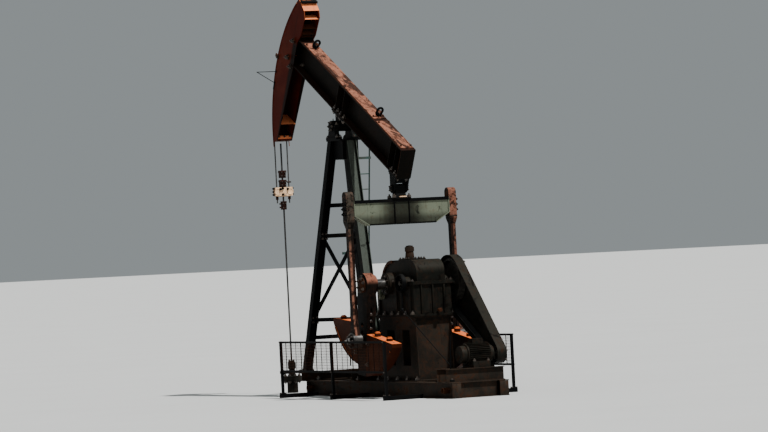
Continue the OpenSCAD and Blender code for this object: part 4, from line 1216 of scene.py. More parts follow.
@dataclass
class Horsehead(Assembly):
    """Pins, lugs, rope anchor, edge bands and lip of the horsehead.

    Attributes:
        face_r: Radius of the face.
        side_y: Outer face of a side plate.
        rope_y: Half the distance between the ropes.
        pins: Hinge pins in the beam's X and Z.
        anchor: Middle of the rope anchor's underside in the beam's X and Z.
        lugs_at: Angle of the lugs above the beam's axis in degrees.
        arc: Lower end and sweep of the bands in degrees.
        lip: Middle of the lip in the beam's X and Z.
        lip_lean: Lean of the lip in degrees.
    """

    home: Home = Home(Body.BEAM, "red_paint", AT_BEAM)
    face_r: float = 2.946
    side_y: float = 0.1695
    rope_y: float = 0.136
    pins: Pairs = ((-2.33, 0.78), (-2.46, 0.36))
    anchor: tuple[float, float] = (-2.3, 1.628)
    lugs_at: float = 3.0
    arc: tuple[float, float] = (34.0, 65.5)
    lip: tuple[float, float] = (-2.374, -1.405)
    lip_lean: float = -62.0

    @staticmethod
    def on_face(degrees: float, radius: float) -> Matrix:
        """A place on the arc of the face at an angle above the beam's axis, with -X outwards."""
        return Matrix.Rotation(math.radians(degrees), 4, "Y") @ Matrix.Translation((-radius, 0, 0))

    def build(self) -> None:
        """Models the head's small pieces."""
        self._pins()
        self._lugs()
        self._anchor()
        self._bands()
        self._lip()

    def _pins(self) -> None:
        """Models the washers, nuts and cotters of the hinge pins."""
        parts = []
        for (u, w), side in product(self.pins, SIDES):
            at = place((u, side * self.side_y, w), outward(side))
            parts.append(Bench.moved(Bench.ring(0.03, 0.058, 0.012, 28), at))
            y = side * (self.side_y + 0.0205)
            parts.append(Bench.rod(0.006, (u - 0.05, y, w + 0.02), (u + 0.05, y, w - 0.02), 8))
        self.add("hinge_washers", RUSTED, parts)
        nuts = [(u, self.side_y + 0.026, w) for u, w in self.pins]
        self.bolt("hinge_nuts", Size.LARGE, sideways([*nuts, (-2.31, self.side_y, 0.22)], 0.4))

    def _lugs(self) -> None:
        """Models the lugs beside the ropes on both edges of the face."""
        lugs = []
        for side in SIDES:
            y = side * (self.side_y + 0.01)
            lug = Edit(Bench.box((0.13, 0.022, 0.075), (0, y, 0)), Facing.WELL).extrude(-0.012, 0, 0)
            lug = lug.swell((1, 0.8, 0.6), (-0.077, y, 0)).done(0.003)
            lugs.append(Bench.moved(lug, self.on_face(self.lugs_at, self.face_r - 0.001)))
        self.add("face_lugs", RUSTED, lugs)
        at = self.on_face(self.lugs_at, self.face_r - 0.031)
        studs = sideways([(0, self.side_y + 0.021, z) for z in (-0.018, 0.018)], 0.2, 0.8)
        self.bolt("face_lug_bolts", Size.SMALL, [at @ stud for stud in studs])

    def _anchor(self) -> None:
        """Models the block on the top plate that holds the ropes' ends."""
        x, z = self.anchor
        block = Edit(Bench.box((0.1, 0.34, 0.042), (x, 0, z + 0.021)), Facing.UP).inset(0.02)
        parts = [block.swell((0.8, 0.9, 1), (x, 0, z + 0.042)).extrude(0, 0, 0.008).done(0.006)]
        for y in (-self.rope_y, self.rope_y):
            socket = Bench.rod(0.026, (x - 0.12, y, z + 0.016), (x - 0.045, y, z + 0.016), 20)
            rope = Bench.rod(0.014, (x - 0.16, y, z), (x - 0.1, y, z + 0.016), 14)
            parts += soft([socket, rope], 0.003)
        self.add("rope_anchor", POST_BLACK, parts, "black_steel")
        self.row("anchor_bolts", Size.MEDIUM, Facing.UP, grid((x,), (-0.06, 0.06), (z + 0.05,)), 0.6)

    def _bands(self) -> None:
        """Models the narrow bands along the arc on both side plates."""
        (low, sweep), bands = self.arc, []
        for side in SIDES:
            band = Bench.box((0.02, 0.008, 0.002), (0.014 - self.face_r, side * (self.side_y + 0.003), 0))
            bpy.ops.transform.rotate(value=math.radians(low), orient_axis="Y", center_override=(0, 0, 0))
            Bench.applied()
            bands.append(Edit(band, lambda c, n: n.z < -0.5).spin(64, sweep, -1).done())
        self.add("face_bands", HEAD_RED, bands)

    def _lip(self) -> None:
        """Models the sloping lip that closes the head's lower back edge."""
        at = Matrix.Translation((self.lip[0], 0, self.lip[1]))
        at = at @ Matrix.Rotation(math.radians(self.lip_lean), 4, "Y")
        lip = Edit(Bench.box((0.01, 0.308, 0.078)), Facing.DOWN).extrude(-0.02, 0, -0.006).done(0.003)
        self.add("head_lip", LIP_RED, [Bench.moved(lip, at)])
        spots = [at @ place((0.005, y, 0.012), Facing.TAIL) for y in (-0.12, 0.0, 0.12)]
        self.bolt("lip_bolts", Size.SMALL, spots)


@dataclass
class Hanger(Assembly):
    """Bridle ropes, carrier bar and polished rod at the well.

    Attributes:
        rope_y: Half the distance between the ropes.
        rope_radius: Radius of a rope.
        rope_low: Lower end of the ropes.
        strands: Number of strands of a rope.
        turns: Number of turns of a strand.
        carrier_low: Underside of the carrier bar.
        rod_radius: Radius of the polished rod.
        rod_ends: Lower and upper end of the polished rod.
        clamp_zs: Middles of the rod clamps' lips.
        block_z: Middle of the block under the carrier.
        lug_zs: Heights of the lugs beside that block.
        clip_z: Height of the clip on the right rope.
    """

    home: Home = Home(Body.CARRIER, "grey_paint", AT_GROUND)
    rope_y: float = 0.136
    rope_radius: float = 0.014
    rope_low: float = 3.865
    strands: int = 6
    turns: int = 7
    carrier_low: float = 4.0125
    rod_radius: float = 0.018
    rod_ends: tuple[float, float] = (0.52, 5.08)
    clamp_zs: tuple[float, float] = (4.505, 4.312)
    block_z: float = 3.885
    lug_zs: tuple[float, float] = (3.78, 3.85)
    clip_z: float = 4.29

    def build(self) -> None:
        """Models the hanger's pieces."""
        self._ropes()
        self._rod()
        self._casting()
        self._clamps()
        self._clip()

    def _ropes(self) -> None:
        """Lays the two hanging ropes from their strands."""
        strand = self.rope_radius * 0.42
        ring = self.rope_radius - strand
        ropes = []
        for side, k in product(SIDES, range(self.strands)):
            start = math.tau * k / self.strands
            piece = Bench.loop(strand, 6, (ring * math.cos(start), ring * math.sin(start), 0))
            steps = 12 * self.turns
            Bench.modified(piece, "SCREW", angle=math.tau * self.turns, steps=steps, render_steps=steps,
                           screw_offset=BEARING.z - self.rope_low)
            bpy.ops.object.mode_set(mode="EDIT")
            bpy.ops.mesh.select_all(action="SELECT")
            bpy.ops.mesh.fill_holes(sides=0)
            bpy.ops.object.mode_set(mode="OBJECT")
            ropes.append(Bench.moved(piece, Matrix.Translation((WELL, side * self.rope_y, self.rope_low))))
        laid = self.add("bridle_strands", ROPE_STEEL, ropes, "wire_rope", hung=False)
        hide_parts("bridle_ropes")
        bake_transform(laid)

    def _rod(self) -> None:
        """Models the polished rod, which passes the clamps and ends above them."""
        low, high = self.rod_ends
        rod = Edit(Bench.rod(self.rod_radius, (WELL, 0, low), (WELL, 0, high), 32), Facing.UP)
        rod = rod.inset(0.004).extrude(0, 0, -0.012).done(0.002)
        self.add("polished_rod_bar", POLISHED, [rod], "bright_steel", hung=False)
        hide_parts("polished_rod")
        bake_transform(rod)

    def _casting(self) -> None:
        """Models the belly, the cheeks and the hub of the carrier casting."""
        low, z = self.carrier_low, CARRIER_MIDDLE
        belly = Edit(Bench.box((0.106, 0.36, 0.02), (WELL, 0, low - 0.006)), Facing.DOWN)
        parts = [belly.swell((0.8, 0.62, 1), (WELL, 0, low)).done()]
        for y in (-self.rope_y, self.rope_y):
            cheek = Bench.rod(0.07, (WELL - 0.058, y, z), (WELL + 0.062, y, z), 36)
            cheek = Edit(cheek, lambda c, n: abs(n.x) > SQUARE_ON)
            parts.append(cheek.inset(0.018, each=True).inset(0.004, -0.006, each=True).done())
        parts.append(Bench.box((0.128, 0.11, 0.15), (WELL, 0, z)))
        self.add("carrier_pads", TAN_CASTING, soft(parts, 0.006), "tan_casting")

    def _clamps(self) -> None:
        """Models the rod clamps' lips, lugs and bolts, and the carrier's bolts."""
        lips = [Bench.box((0.118, 0.136, 0.045), (WELL, 0, z)) for z in self.clamp_zs]
        lips.append(Bench.box((0.1, 0.1, 0.03), (WELL, 0, self.block_z)))
        lips += [Bench.box((0.05, 0.05, 0.03), (WELL, -0.062, z)) for z in self.lug_zs]
        self.add("clamp_lips", CLAMP_BROWN, soft(lips, 0.005))
        clamps = [place((WELL + 0.052, y, z), Facing.TAIL, 0.3, 0.8)
                  for y, z in product((-0.036, 0.036), (4.23, 4.3, 4.42, 4.49))]
        clamps += [place((WELL + 0.045, y, z), Facing.TAIL, 0.3, 0.7)
                   for y, z in product((-0.03, 0.03), (3.77, 3.86))]
        self.bolt("clamp_bolts", Size.SMALL, clamps)
        ends = sideways(grid((WELL,), (0.205,), (4.04, CARRIER_MIDDLE, 4.165)), 0.1, 0.7)
        ends += [place((WELL + 0.062, y, z), Facing.TAIL, 0.5, 0.8)
                 for y, z in ((-0.085, 4.15), (-0.03, 4.165), (0.08, 4.15), (-0.03, 4.04))]
        self.bolt("carrier_bolts", Size.MEDIUM, ends, POST_BLACK, "black_steel")

    def _clip(self) -> None:
        """Models the clip on the right rope."""
        y, z = self.rope_y, self.clip_z
        self.add("rope_clip", RUSTED, soft([Bench.box((0.05, 0.075, 0.03), (WELL + 0.012, y, z))], 0.006))
        nuts = [place((WELL + 0.037, y + s * 0.025, z), Facing.TAIL, 0.2, 0.6) for s in SIDES]
        self.bolt("rope_clip_nuts", Size.SMALL, nuts)


@dataclass
class Equalizer(Assembly):
    """Bolts, bars and covers of the equalizer, the tail bearing and the pitmans.

    Attributes:
        top: Top of the equalizer.
        pitman_y: Middle of a pitman.
        length: Tail bearing to the wrist pins.
        plate_x: Middle of the panels between the flanges.
        tail_cover: End covers of the tail shaft.
        wrist_cover: End covers of the wrist bearings.
    """

    home: Home = Home(Body.PITMANS, "grey_paint", AT_PITMAN)
    top: float = -0.205
    pitman_y: float = 1.1
    length: float = (TAIL - PIN).length
    plate_x: float = 0.082
    tail_cover: EndCover = EndCover(0.066, 0.15, 0.178, ((0.022, 0.006),), 32, 0.004)
    wrist_cover: EndCover = EndCover(0.134, 1.19, 1.213, ((0.045, 0.0), (0.006, 0.01)), 40, 0.003)

    def build(self) -> None:
        """Models the small pieces between tail bearing and wrist pins."""
        feet = grid((-0.105, 0.105), (-0.16, 0.16), (self.top + 0.026,))
        self.row("tail_foot_bolts", Size.LARGE, Facing.UP, feet)
        # Painted highlight: a small pale plate on the tail bearing's foot stands for sun on its top.
        glint_plate = Bench.box((0.02, 0.15, 0.02), (0.128, 0.02, self.top + 0.038))
        self.add("tail_glint_plate", TAN_CASTING, soft([glint_plate], 0.004), "tan_casting")
        self.add("tail_shaft_caps", POST_BLACK, self.tail_cover.model(), "black_steel")
        studs = circle((0, self.tail_cover.high, 0), 0.053, 4, 0.78)
        self.bolt("tail_cap_bolts", Size.SMALL, sideways(studs, 0.3, 0.7))
        self._bars()
        self._panels()
        self._pitman_heads()
        self._wrists()

    def _bars(self) -> None:
        """Models the black edge bars of the equalizer's flange and stiffeners."""
        bars = [Bench.box((0.216, 0.018, 0.462), (0, side * 0.155, self.top - 0.246)) for side in SIDES]
        # Painted shade: this thin black bar on the top flange's edge stands for the shade under it.
        bars.append(Bench.box((0.006, 2.03, 0.062), (0.107, 0, self.top - 0.029)))
        bars.append(Bench.box((0.006, 1.42, 0.02), (0.107, 0, self.top - 0.481)))
        self.add("equalizer_bars", POST_BLACK, soft(bars, 0.002, 1))

    def _panels(self) -> None:
        """Models the cover plates between the equalizer's flanges."""
        x, z = self.plate_x, self.top - 0.245
        panels = [Bench.box((0.008, 0.288, 0.436), (x, 0, z))]
        for side in SIDES:
            panel = Edit(Bench.box((0.008, 0.536, 0.436), (x, side * 0.434, z)), outward(side))
            panel.extrude(0, side * 0.3, 0).swell((1, 1, 0.66), (x, side, self.top - 0.027))
            panels.append(panel.done())
        self.add("equalizer_panels", PANEL_GREEN, soft(panels, 0.002, 1))

    def _pitman_heads(self) -> None:
        """Models the bolts and the collars of the pitman heads."""
        collars = []
        for y in (-self.pitman_y, self.pitman_y):
            collar = Edit(Bench.box((0.2, 0.174, 0.05), (0, y, -0.595)), Facing.DOWN)
            collars.append(collar.swell((0.86, 0.84, 1), (0, y, -0.6)).done(0.006))
        self.add("pitman_collars", PITMAN_SHADED, collars, "rusted_red")
        bolts = grid((-0.045, 0.045), (self.pitman_y + 0.079,), (-0.26, -0.36, -0.46))
        self.bolt("pitman_head_bolts", Size.MEDIUM, sideways(bolts, 0.2), POST_BLACK, "rusted_red")

    def _wrists(self) -> None:
        """Models the covers and nuts of the wrist bearings."""
        z, y = -self.length, self.wrist_cover.high
        self.add("wrist_covers", POST_BLACK, self.wrist_cover.model(z), "black_steel")
        studs = sideways(circle((0, y, z), 0.112, 8), 0.3)
        self.bolt("wrist_cover_bolts", Size.SMALL, studs, slot="bright_steel")
        nuts = sideways([(0, y + 0.012, z)], 0.5, 1.5)
        self.bolt("wrist_pin_nuts", Size.LARGE, nuts, BRIGHT_STEEL, "bright_steel")


@dataclass
class Cranks(Assembly):
    """Bolts, lugs and covers of the cranks and their weights.

    Attributes:
        face: Outer face of a crank.
        middle: Middle of a crank from the centre plane.
        length: Length over which a crank tapers.
        half: Half a crank's width at the shaft.
        taper: How much of it is lost over the length.
        cover: End covers of the shaft.
        lugs: Lifting lugs of the weights in X and Z.
        clamps: Bolts of the weights in X and Z.
        rim_z: Middle of a weight's round edge.
        rim_arc: Start and sweep of the rims in degrees.
    """

    home: Home = Home(Body.CRANKS, "black_steel", AT_CRANK)
    face: float = 0.96
    middle: float = 0.865
    length: float = 1.75
    half: float = 0.225
    taper: float = 0.06
    cover: EndCover = EndCover(0.15, 0.955, 0.984, ((0.05, 0.0), (0.006, 0.012)), 40, 0.004)
    lugs: Pairs = ((0.46, -0.915), (0.98, -0.955), (-0.55, -0.745), (-1.05, -0.77))
    clamps: Pairs = ((0.3, -1.1), (0.27, -1.5), (-0.3, -0.92), (-0.27, -1.32))
    rim_z: float = -1.535
    rim_arc: tuple[float, float] = (14.0, 38.0)

    def build(self) -> None:
        """Models the cranks' small pieces."""
        self.add("shaft_covers", RUSTED, self.cover.model())
        keys = [Bench.box((0.05, 0.05, 0.14), (0.0, side * (self.face + 0.01), 0.12)) for side in SIDES]
        self.add("shaft_keys", BRIGHT_STEEL, soft(keys, 0.004), "bright_steel")
        studs = circle((0, self.cover.high, 0), 0.124, 6, 0.5)
        self.bolt("shaft_cover_bolts", Size.MEDIUM, sideways(studs, 0.3))
        self._weights()
        spots = []
        for side, (s, away) in product(SIDES, ((0.55, 1), (0.68, 1), (0.55, -1), (1.68, -1), (0.82, 1))):
            x = self.half - self.taper * s / self.length - 0.02
            facing = Facing.TAIL if away > 0 else Facing.WELL
            spots.append(place((away * x, side * self.middle, -s), facing, 0.4))
        self.bolt("slot_nuts", Size.MEDIUM, spots)

    def _weights(self) -> None:
        """Models lugs, rims and clamp bolts of the counterweights."""
        lugs, rims = [], []
        for side in SIDES:
            for x, z in self.lugs:
                lug = Edit(Bench.box((0.07, 0.11, 0.09), (x, side * 0.852, z)), Facing.UP)
                lugs.append(lug.inset(0.014).extrude(0, 0, 0.02).done(0.008))
            for way, shift in ((-1, 0.0), (1, -0.19)):
                rims.append(self._rim(side, way, shift))
        self.add("weight_lugs", WEIGHT_RED, lugs, "red_paint")
        self.add("weight_rims", WEIGHT_RED, rims, "red_paint")
        bolts = sideways([(x, self.face - 0.005, z) for x, z in self.clamps], 0.3)
        self.bolt("weight_bolts", Size.LARGE, bolts, slot="red_paint")

    def _rim(self, side: int, way: int, shift: float) -> Piece:
        """Sweeps the rim along the round edge of one weight.

        Args:
            side: -1 for the left crank, 1 for the right one.
            way: -1 or 1, the edge of the crank on which the weight is.
            shift: How far the weight is moved along the crank.

        Returns:
            The rim.
        """
        start, sweep = self.rim_arc
        rim = Bench.box((0.002, 0.012, 0.05), (0, side * self.face, self.rim_z))
        bpy.ops.object.mode_set(mode="EDIT")
        bpy.ops.mesh.select_all(action="SELECT")
        bpy.ops.transform.rotate(value=math.radians(start * way), orient_axis="Y", center_override=(0, 0, 0))
        edit = Edit(rim, lambda c, n: n.x * way < 0 and abs(n.x) > 0.5)
        return Bench.moved(edit.spin(24, sweep, way).done(), Matrix.Translation((0, 0, shift)))


@dataclass
class GearCase(Assembly):
    """Bolts, ribs, gauge and drain of the gear case.

    Attributes:
        ends: Front and rear end of the flanges.
        split: Height of the crank shaft, where the case is split.
        foot: Underside of the case.
        rib_z: Middle of a rib.
        lid_z: Top of the lid.
        breather_x: Middle of the breather.
        rib_xs: Ribs along the sides.
        end_xs: Ribs on the rear and the front end.
        gauge: Middle of the gauge box.
        drain: Root of the drain plug.
    """

    ends: tuple[float, float] = (2.03, 3.7)
    split: float = 2.175
    foot: float = 1.535
    rib_z: float = 1.855
    lid_z: float = 2.635
    breather_x: float = 2.76
    rib_xs: tuple[float, ...] = (2.2, 2.95, 3.2, 3.55)
    end_xs: tuple[float, float] = (3.67, 2.06)
    gauge: Point = (2.36, -0.44, 1.98)
    drain: Point = (3.69, 0.1, 1.64)

    def build(self) -> None:
        """Models the gear case's small pieces."""
        front, rear = self.ends
        flange = grid(spread(front + 0.05, rear - 0.05, 12), (-0.405, 0.405), (self.split + 0.03,))
        self.row("split_bolts", Size.MEDIUM, Facing.UP, flange, 0.9)
        feet = grid(spread(2.1, 3.63, 6), (-0.42, 0.42), (self.foot + 0.04,))
        self.row("case_foot_bolts", Size.LARGE, Facing.UP, feet)
        lid = grid(spread(2.68, 3.04, 4), (-0.165, 0.165), (self.lid_z,))
        lid += grid((2.675, 3.045), (-0.055, 0.055), (self.lid_z,))
        self.row("lid_bolts", Size.SMALL, Facing.UP, lid)
        self._ribs()
        self._cover_rims()
        self._breather()
        self._housings()
        self._fittings()

    def _ribs(self) -> None:
        """Models the cast ribs on the case's sides and ends."""
        z, ribs = self.rib_z, []
        for x, side in product(self.rib_xs, SIDES):
            rib = Edit(Bench.box((0.03, 0.05, 0.55), (x, side * 0.41, z)), Facing.UP)
            ribs.append(rib.swell((0.8, 0.7, 1), (x, side * 0.395, z + 0.275)).done())
        ribs += [Bench.box((0.05, 0.03, 0.55), (x, y, z))
                 for y, x in product((-0.24, 0.0, 0.24), self.end_xs)]
        self.add("case_ribs", CASE_GREY, soft(ribs, 0.006))

    def _cover_rims(self) -> None:
        """Models the rusty rims along the rounded front edges of the cover."""
        rims = []
        for side in SIDES:
            rim = Edit(Bench.box((0.002, 0.026, 0.056), (0, side * 0.31, 0.455)), lambda c, n: n.x < -0.5)
            at = Matrix.Translation((SHAFT.x, 0, self.split - 0.04))
            rims.append(Bench.moved(rim.spin(32, 78, 1).done(), at))
        self.add("cover_rims", RUSTED, rims)

    def _breather(self) -> None:
        """Models the sleeve and the domed cap of the breather on the cover."""
        x, z = self.breather_x, self.lid_z - 0.005
        sleeve = Edit(Bench.rod(0.074, (x, 0, z), (x, 0, z + 0.16), 40), Facing.DOWN)
        sleeve.swell((1.25, 1.25, 1), (x, 0, z))
        parts = soft([sleeve.done()], 0.003)
        cap = Edit(Bench.rod(0.09, (x, 0, z + 0.145), (x, 0, z + 0.23), 40), Facing.UP)
        for rim, rise in ((0.02, 0.018), (0.025, 0.01), (0.02, 0.004)):
            cap.inset(rim).extrude(0, 0, rise)
        self.add("breather", BASE_GREY, [*parts, cap.done()])

    def _housings(self) -> None:
        """Models the covers round the shafts, with their bolts."""
        covers, studs = [], []
        for x, radius, hole, y in ((SHAFT.x, 0.19, 0.103, 0.474), (PINION, 0.11, 0.046, 0.449)):
            covers += [Bench.moved(Bench.ring(hole, radius, 0.018, 44), at)
                       for at in sideways([(x, y, self.split)])]
            studs += circle((x, y + 0.018, self.split), (hole + radius) / 2 + 0.008, 8, 0.39)
        self.add("shaft_housing_covers", CASE_GREY, soft(covers, 0.003))
        self.bolt("housing_bolts", Size.SMALL, sideways(studs, 0.3, 0.9))

    def _fittings(self) -> None:
        """Models the gauge box with its lever, and the drain plug."""
        x, y, z = self.gauge
        box = Edit(Bench.box((0.1, 0.09, 0.2), self.gauge), Facing.LEFT)
        box = box.inset(0.012).extrude(0, -0.012, 0).done(0.005)
        lever = Bench.rod(0.012, (x, y - 0.05, z + 0.07), (x, y - 0.09, z + 0.11), 12)
        self.add("gauge_box", GREY_GREEN, [box, lever])
        x, y, z = self.drain
        drain = [Bench.rod(0.03, self.drain, (x + 0.07, y, z), 20),
                 Bench.rod(0.042, (x + 0.065, y, z), (x + 0.095, y, z), 6)]
        self.add("drain_plug", RUSTED, soft(drain, 0.003))


@dataclass
class Drive(Assembly):
    """Fins, covers, brake band and guard bolts of the drive.

    Attributes:
        fins: Number of the motor's fins.
        drum: Middle of the brake drum.
        guard_y: Outer face of the belt guard.
        guard_rings: Radii of the guard's bolts round the pinion and the motor's shaft.
    """

    fins: int = 36
    drum: Point = (PINION, -0.51, 2.175)
    guard_y: float = 0.691
    guard_rings: tuple[float, float] = (0.485, 0.18)

    def build(self) -> None:
        """Models the drive's small pieces."""
        self._motor()
        self._brake()
        (x, z), y, (large, small) = MOTOR, self.guard_y, self.guard_rings
        spots = [p for p in circle((PINION, y, self.drum[2]), large, 10, 0.2) if p[0] < PINION + 0.37]
        spots += [p for p in circle((x, y, z), small, 6, 0.2) if p[0] > x - 0.09]
        self.bolt("belt_guard_bolts", Size.SMALL, [place(p, Facing.RIGHT, 0.3) for p in spots])

    def _motor(self) -> None:
        """Models the motor's fins, fan cover, box lid and foot bolts."""
        x, z = MOTOR
        turns = [Matrix.Translation((x, 0, z)) @ Matrix.Rotation(math.tau * k / self.fins, 4, "Y")
                 for k in range(self.fins)]
        fin = Bench.box((0.006, 0.44, 0.05), (0, 0.145, 0.196))
        self.add("motor_fins", CASE_GREY, [Bench.copies(fin, turns)])
        fan = Edit(Bench.rod(0.165, (x, -0.22, z), (x, -0.1, z), 44), Facing.LEFT)
        for _ in range(4):
            fan.inset(0.018).inset(0.008, -0.006)
        parts = [fan.done(0.006)]
        parts += soft([Bench.box((0.15, 0.2, 0.016), (x, 0.145, z + 0.285))], 0.004)
        self.add("motor_covers", CASE_GREY, parts)
        feet = grid((x - 0.2, x + 0.2), (0.0, 0.29), (z - 0.13,))
        self.row("motor_foot_bolts", Size.MEDIUM, Facing.UP, feet)

    def _brake(self) -> None:
        """Models the brake band, its lever, link and handle."""
        x, y, z = self.drum
        arm, out, post = x + 0.05, y + 0.02, x + 1.9
        band = Bench.moved(Bench.ring(0.171, 0.179, 0.06, 48), place((x, y - 0.03, z), Facing.RIGHT))
        bars = [Bench.rod(0.014, (arm, y, z - 0.17), (arm, y - 0.02, z - 0.52), 14),
                Bench.rod(0.009, (arm, y - 0.02, z - 0.5), (post, out, 0.62), 12),
                Bench.rod(0.03, (arm, y - 0.04, z - 0.5), (arm, y + 0.01, z - 0.5), 20),
                Bench.rod(0.013, (post, out, 0.34), (post + 0.06, out, 1.18), 14)]
        foot = Bench.soften(Bench.box((0.14, 0.09, 0.05), (post, out, 0.325)), 0.008)
        self.add("brake_gear", POST_BLACK, [band, foot, *soft(bars, 0.003)], "black_steel")
        self.row("brake_bolts", Size.SMALL, Facing.UP, grid((post - 0.04, post + 0.04), (out,), (0.35,)))


@dataclass
class Guards(Assembly):
    """Wire mesh, feet and clips of the crank guards.

    Attributes:
        plane: Distance of the guards from the centre line.
        start: Front end of the first panel.
        panel: Length of a panel.
        low: Lowest mesh bar.
        high: Highest mesh bar.
        pitch: Distance between the upright wires.
        wire: Radius of a wire.
    """

    home: Home = Home(Body.ROOT, "black_steel", AT_GROUND)
    plane: float = 1.35
    start: float = -0.47
    panel: float = 2.35
    low: float = 0.545
    high: float = 1.085
    pitch: float = 0.05
    wire: float = 0.0032

    def build(self) -> None:
        """Models the guards' pieces."""
        for side, name in ((-1, "guard_mesh_left"), (1, "guard_mesh_right")):
            self._mesh(side, name)
        posts = [self.start + k * self.panel for k in range(3)]
        feet, points = [], []
        for x, side in product(posts, SIDES):
            y = side * self.plane
            feet.append(Bench.box((0.08, 0.115, 0.012), (x, y, 0.086)))
            feet.append(Bench.box((0.058, 0.058, 0.008), (x, y, 1.116)))
            points += [(x + i * 0.031, y + j * 0.045, 0.092) for i, j in product(SIDES, repeat=2)]
        self.add("guard_feet", POST_BLACK, soft(feet, 0.003))
        self.row("guard_foot_bolts", Size.SMALL, Facing.UP, points, 0.6)
        clips = grid(posts, (self.plane + 0.025,), (0.53, 1.1))
        self.bolt("guard_clips", Size.SMALL, sideways(clips, 0.2, 0.7))

    def _mesh(self, side: int, name: str) -> None:
        """Models the welded wire mesh of one guard.

        Args:
            side: -1 for the left guard, 1 for the right one.
            name: Name of the piece.
        """
        count = int(self.panel / self.pitch)
        xs = [self.start + k * self.panel + (j + 0.5) * self.pitch for k in range(2) for j in range(count)]
        upright = Bench.rod(self.wire, (0, 0, self.low - 0.02), (0, 0, self.high + 0.02), 6)
        uprights = [Matrix.Translation((x, side * (self.plane + 0.0045), 0)) for x in xs]
        wires = [Bench.copies(upright, uprights)]
        level = Bench.rod(self.wire, (self.start, 0, 0), (self.start + 2 * self.panel, 0, 0), 6)
        y = side * (self.plane - 0.0015)
        levels = [Matrix.Translation((0, y, z)) for z in spread(self.low, self.high, 11)]
        wires.append(Bench.copies(level, levels))
        self.add(name, RUSTED, wires)


@dataclass
class Wellhead(Assembly):
    """Studs, gland and outlet stubs of the stuffing box.

    Attributes:
        bolt_circle: Radius of the flange's bolt circle.
        studs: Number of its studs.
        outlet_z: Height of the outlets.
        flange: Top and underside of the flanges.
        gland_z: Underside of the gland.
    """

    bolt_circle: float = 0.152
    studs: int = 8
    outlet_z: float = 0.42
    flange: tuple[float, float] = (0.34, 0.24)
    gland_z: float = 0.62

    def build(self) -> None:
        """Models the wellhead's small pieces."""
        turns = [math.tau * k / self.studs for k in range(self.studs)]
        spots = [(WELL + self.bolt_circle * math.cos(a), self.bolt_circle * math.sin(a)) for a in turns]
        studs = [place((*spot, z), facing, 0.2)
                 for facing, z in zip((Facing.UP, Facing.DOWN), self.flange) for spot in spots]
        self.bolt("wellhead_studs", Size.MEDIUM, studs)
        gland = Bench.ring(0.0195, 0.066, 0.03, 36)
        stubs = soft([Bench.moved(gland, Matrix.Translation((WELL, 0, self.gland_z)))], 0.004)
        for side in SIDES:
            z = self.outlet_z
            stubs.append(Bench.rod(0.03, (WELL, 0, z), (WELL, side * 0.2, z), 24))
            plug = Edit(Bench.rod(0.044, (WELL, side * 0.17, z), (WELL, side * 0.235, z), 8), outward(side))
            stubs.append(plug.inset(0.016).extrude(0, side * 0.03, 0).done(0.004))
        self.add("outlet_stubs", CASE_GREY, stubs)
        self.row("gland_nuts", Size.SMALL, Facing.UP, grid((WELL,), (-0.048, 0.048), (self.gland_z + 0.03,)))


@dataclass(frozen=True)
class Sun:
    """A distant light.

    Attributes:
        name: Its name.
        towards: Direction in which it stands.
        strength: Its strength.
        degrees: Its width in the sky.
    """

    name: str
    towards: Point
    strength: float
    degrees: float

    def light(self) -> None:
        """Adds the light."""
        data = bpy.data.lights.new(self.name, "SUN")
        data.energy = self.strength
        data.angle = math.radians(self.degrees)
        lamp = bpy.data.objects.new(self.name, data)
        lamp.rotation_mode = "QUATERNION"
        lamp.rotation_quaternion = Vector(self.towards).to_track_quat("Z", "Y")
        lamp.location = Vector(self.towards) * 30
        bpy.context.scene.collection.objects.link(lamp)


def build_stage() -> None:
    """Makes the pale floor, the light and the sky."""
    Bench.clear()
    bpy.ops.mesh.primitive_circle_add(vertices=96, radius=400, fill_type="NGON", location=(0, 0, 0))
    floor = bpy.context.object
    floor.name = "floor"
    graph = Graph("floor_paint")
    tone = graph.blend(graph.noise(3.0, 4, 0.5), (0.6, 0.6, 0.58), (0.66, 0.66, 0.64))
    floor.data.materials.append(graph.finish(tone, 0.8, graph.noise(0.2, 3, 0.5), 0.002))
    for sun in (Sun("key_sun", (0.47, 0.16, 0.87), 5.0, 1.5), Sun("fill_sun", (0.5, -0.75, 0.42), 0.1, 40.0)):
        sun.light()
    world = bpy.data.worlds.new("sky")
    world.use_nodes = True
    background = next(n for n in world.node_tree.nodes if n.type == "BACKGROUND")
    background.inputs["Color"].default_value = (0.62, 0.68, 0.7, 1.0)
    background.inputs["Strength"].default_value = 0.42
    bpy.context.scene.world = world


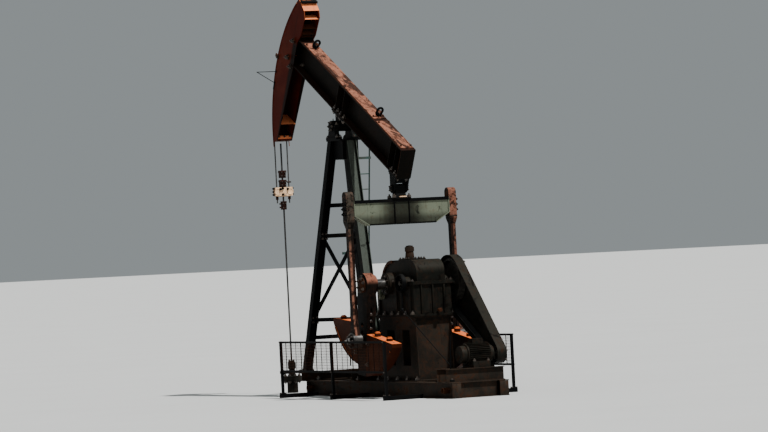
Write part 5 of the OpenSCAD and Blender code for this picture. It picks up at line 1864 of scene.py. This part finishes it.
@dataclass(frozen=True)
class Camera:
    """The photograph's camera.

    Attributes:
        distance: Distance from the centre line of the post.
        height: Its height.
        azimuth: Degrees off the beam's axis at which it stands.
        swing: Degrees by which it looks past the post.
        pitch: Degrees by which it looks up.
        roll: Degrees by which it is rolled.
        focal_pixels: Focal length in pixels of the photograph.
        photo_width: Width of the photograph in pixels.
        sensor: Width of the sensor in millimetres.
    """

    distance: float = 90.0
    height: float = 3.131
    azimuth: float = 25.265
    swing: float = 0.473
    pitch: float = 0.228
    roll: float = 2.883
    focal_pixels: float = 4550.7
    photo_width: float = 768.0
    sensor: float = 36.0

    def place(self) -> None:
        """Adds the camera and makes it the scene's."""
        sight, swing = math.radians(self.azimuth), math.radians(self.swing)
        pitch, roll = math.radians(self.pitch), math.radians(self.roll)
        data = bpy.data.cameras.new("camera")
        data.sensor_width = self.sensor
        data.lens = self.focal_pixels * self.sensor / self.photo_width
        data.clip_end = 1000.0
        camera = bpy.data.objects.new("camera", data)
        camera.location = (self.distance * math.cos(sight), -self.distance * math.sin(sight), self.height)
        level, aim = math.cos(pitch), sight + swing
        forward = Vector((-math.cos(aim) * level, math.sin(aim) * level, math.sin(pitch)))
        camera.rotation_mode = "QUATERNION"
        rolled = Matrix.Rotation(-roll, 3, "Z").to_quaternion()
        camera.rotation_quaternion = forward.to_track_quat("-Z", "Y") @ rolled
        bpy.context.scene.collection.objects.link(camera)
        bpy.context.scene.camera = camera


def main() -> None:
    """Builds the scene in order and reports each piece."""
    logging.basicConfig(level=logging.INFO, format="%(name)s: %(message)s")
    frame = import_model()
    Camera().place()
    build_stage()
    for finish, names in NODE_FINISHES.items():
        for name in names:
            PALETTE.dress(frame["nodes"][name], finish)
    LOG.info("dressed %d nodes", sum(len(names) for names in NODE_FINISHES.values()))
    bolts = BoltBox()
    for kind in (Base, SamsonPost, Beam, Horsehead, Hanger, Equalizer, Cranks, GearCase, Drive, Guards,
                 Wellhead):
        kind(bolts).build()
    bolts.empty()


if __name__ == "__main__":
    main()
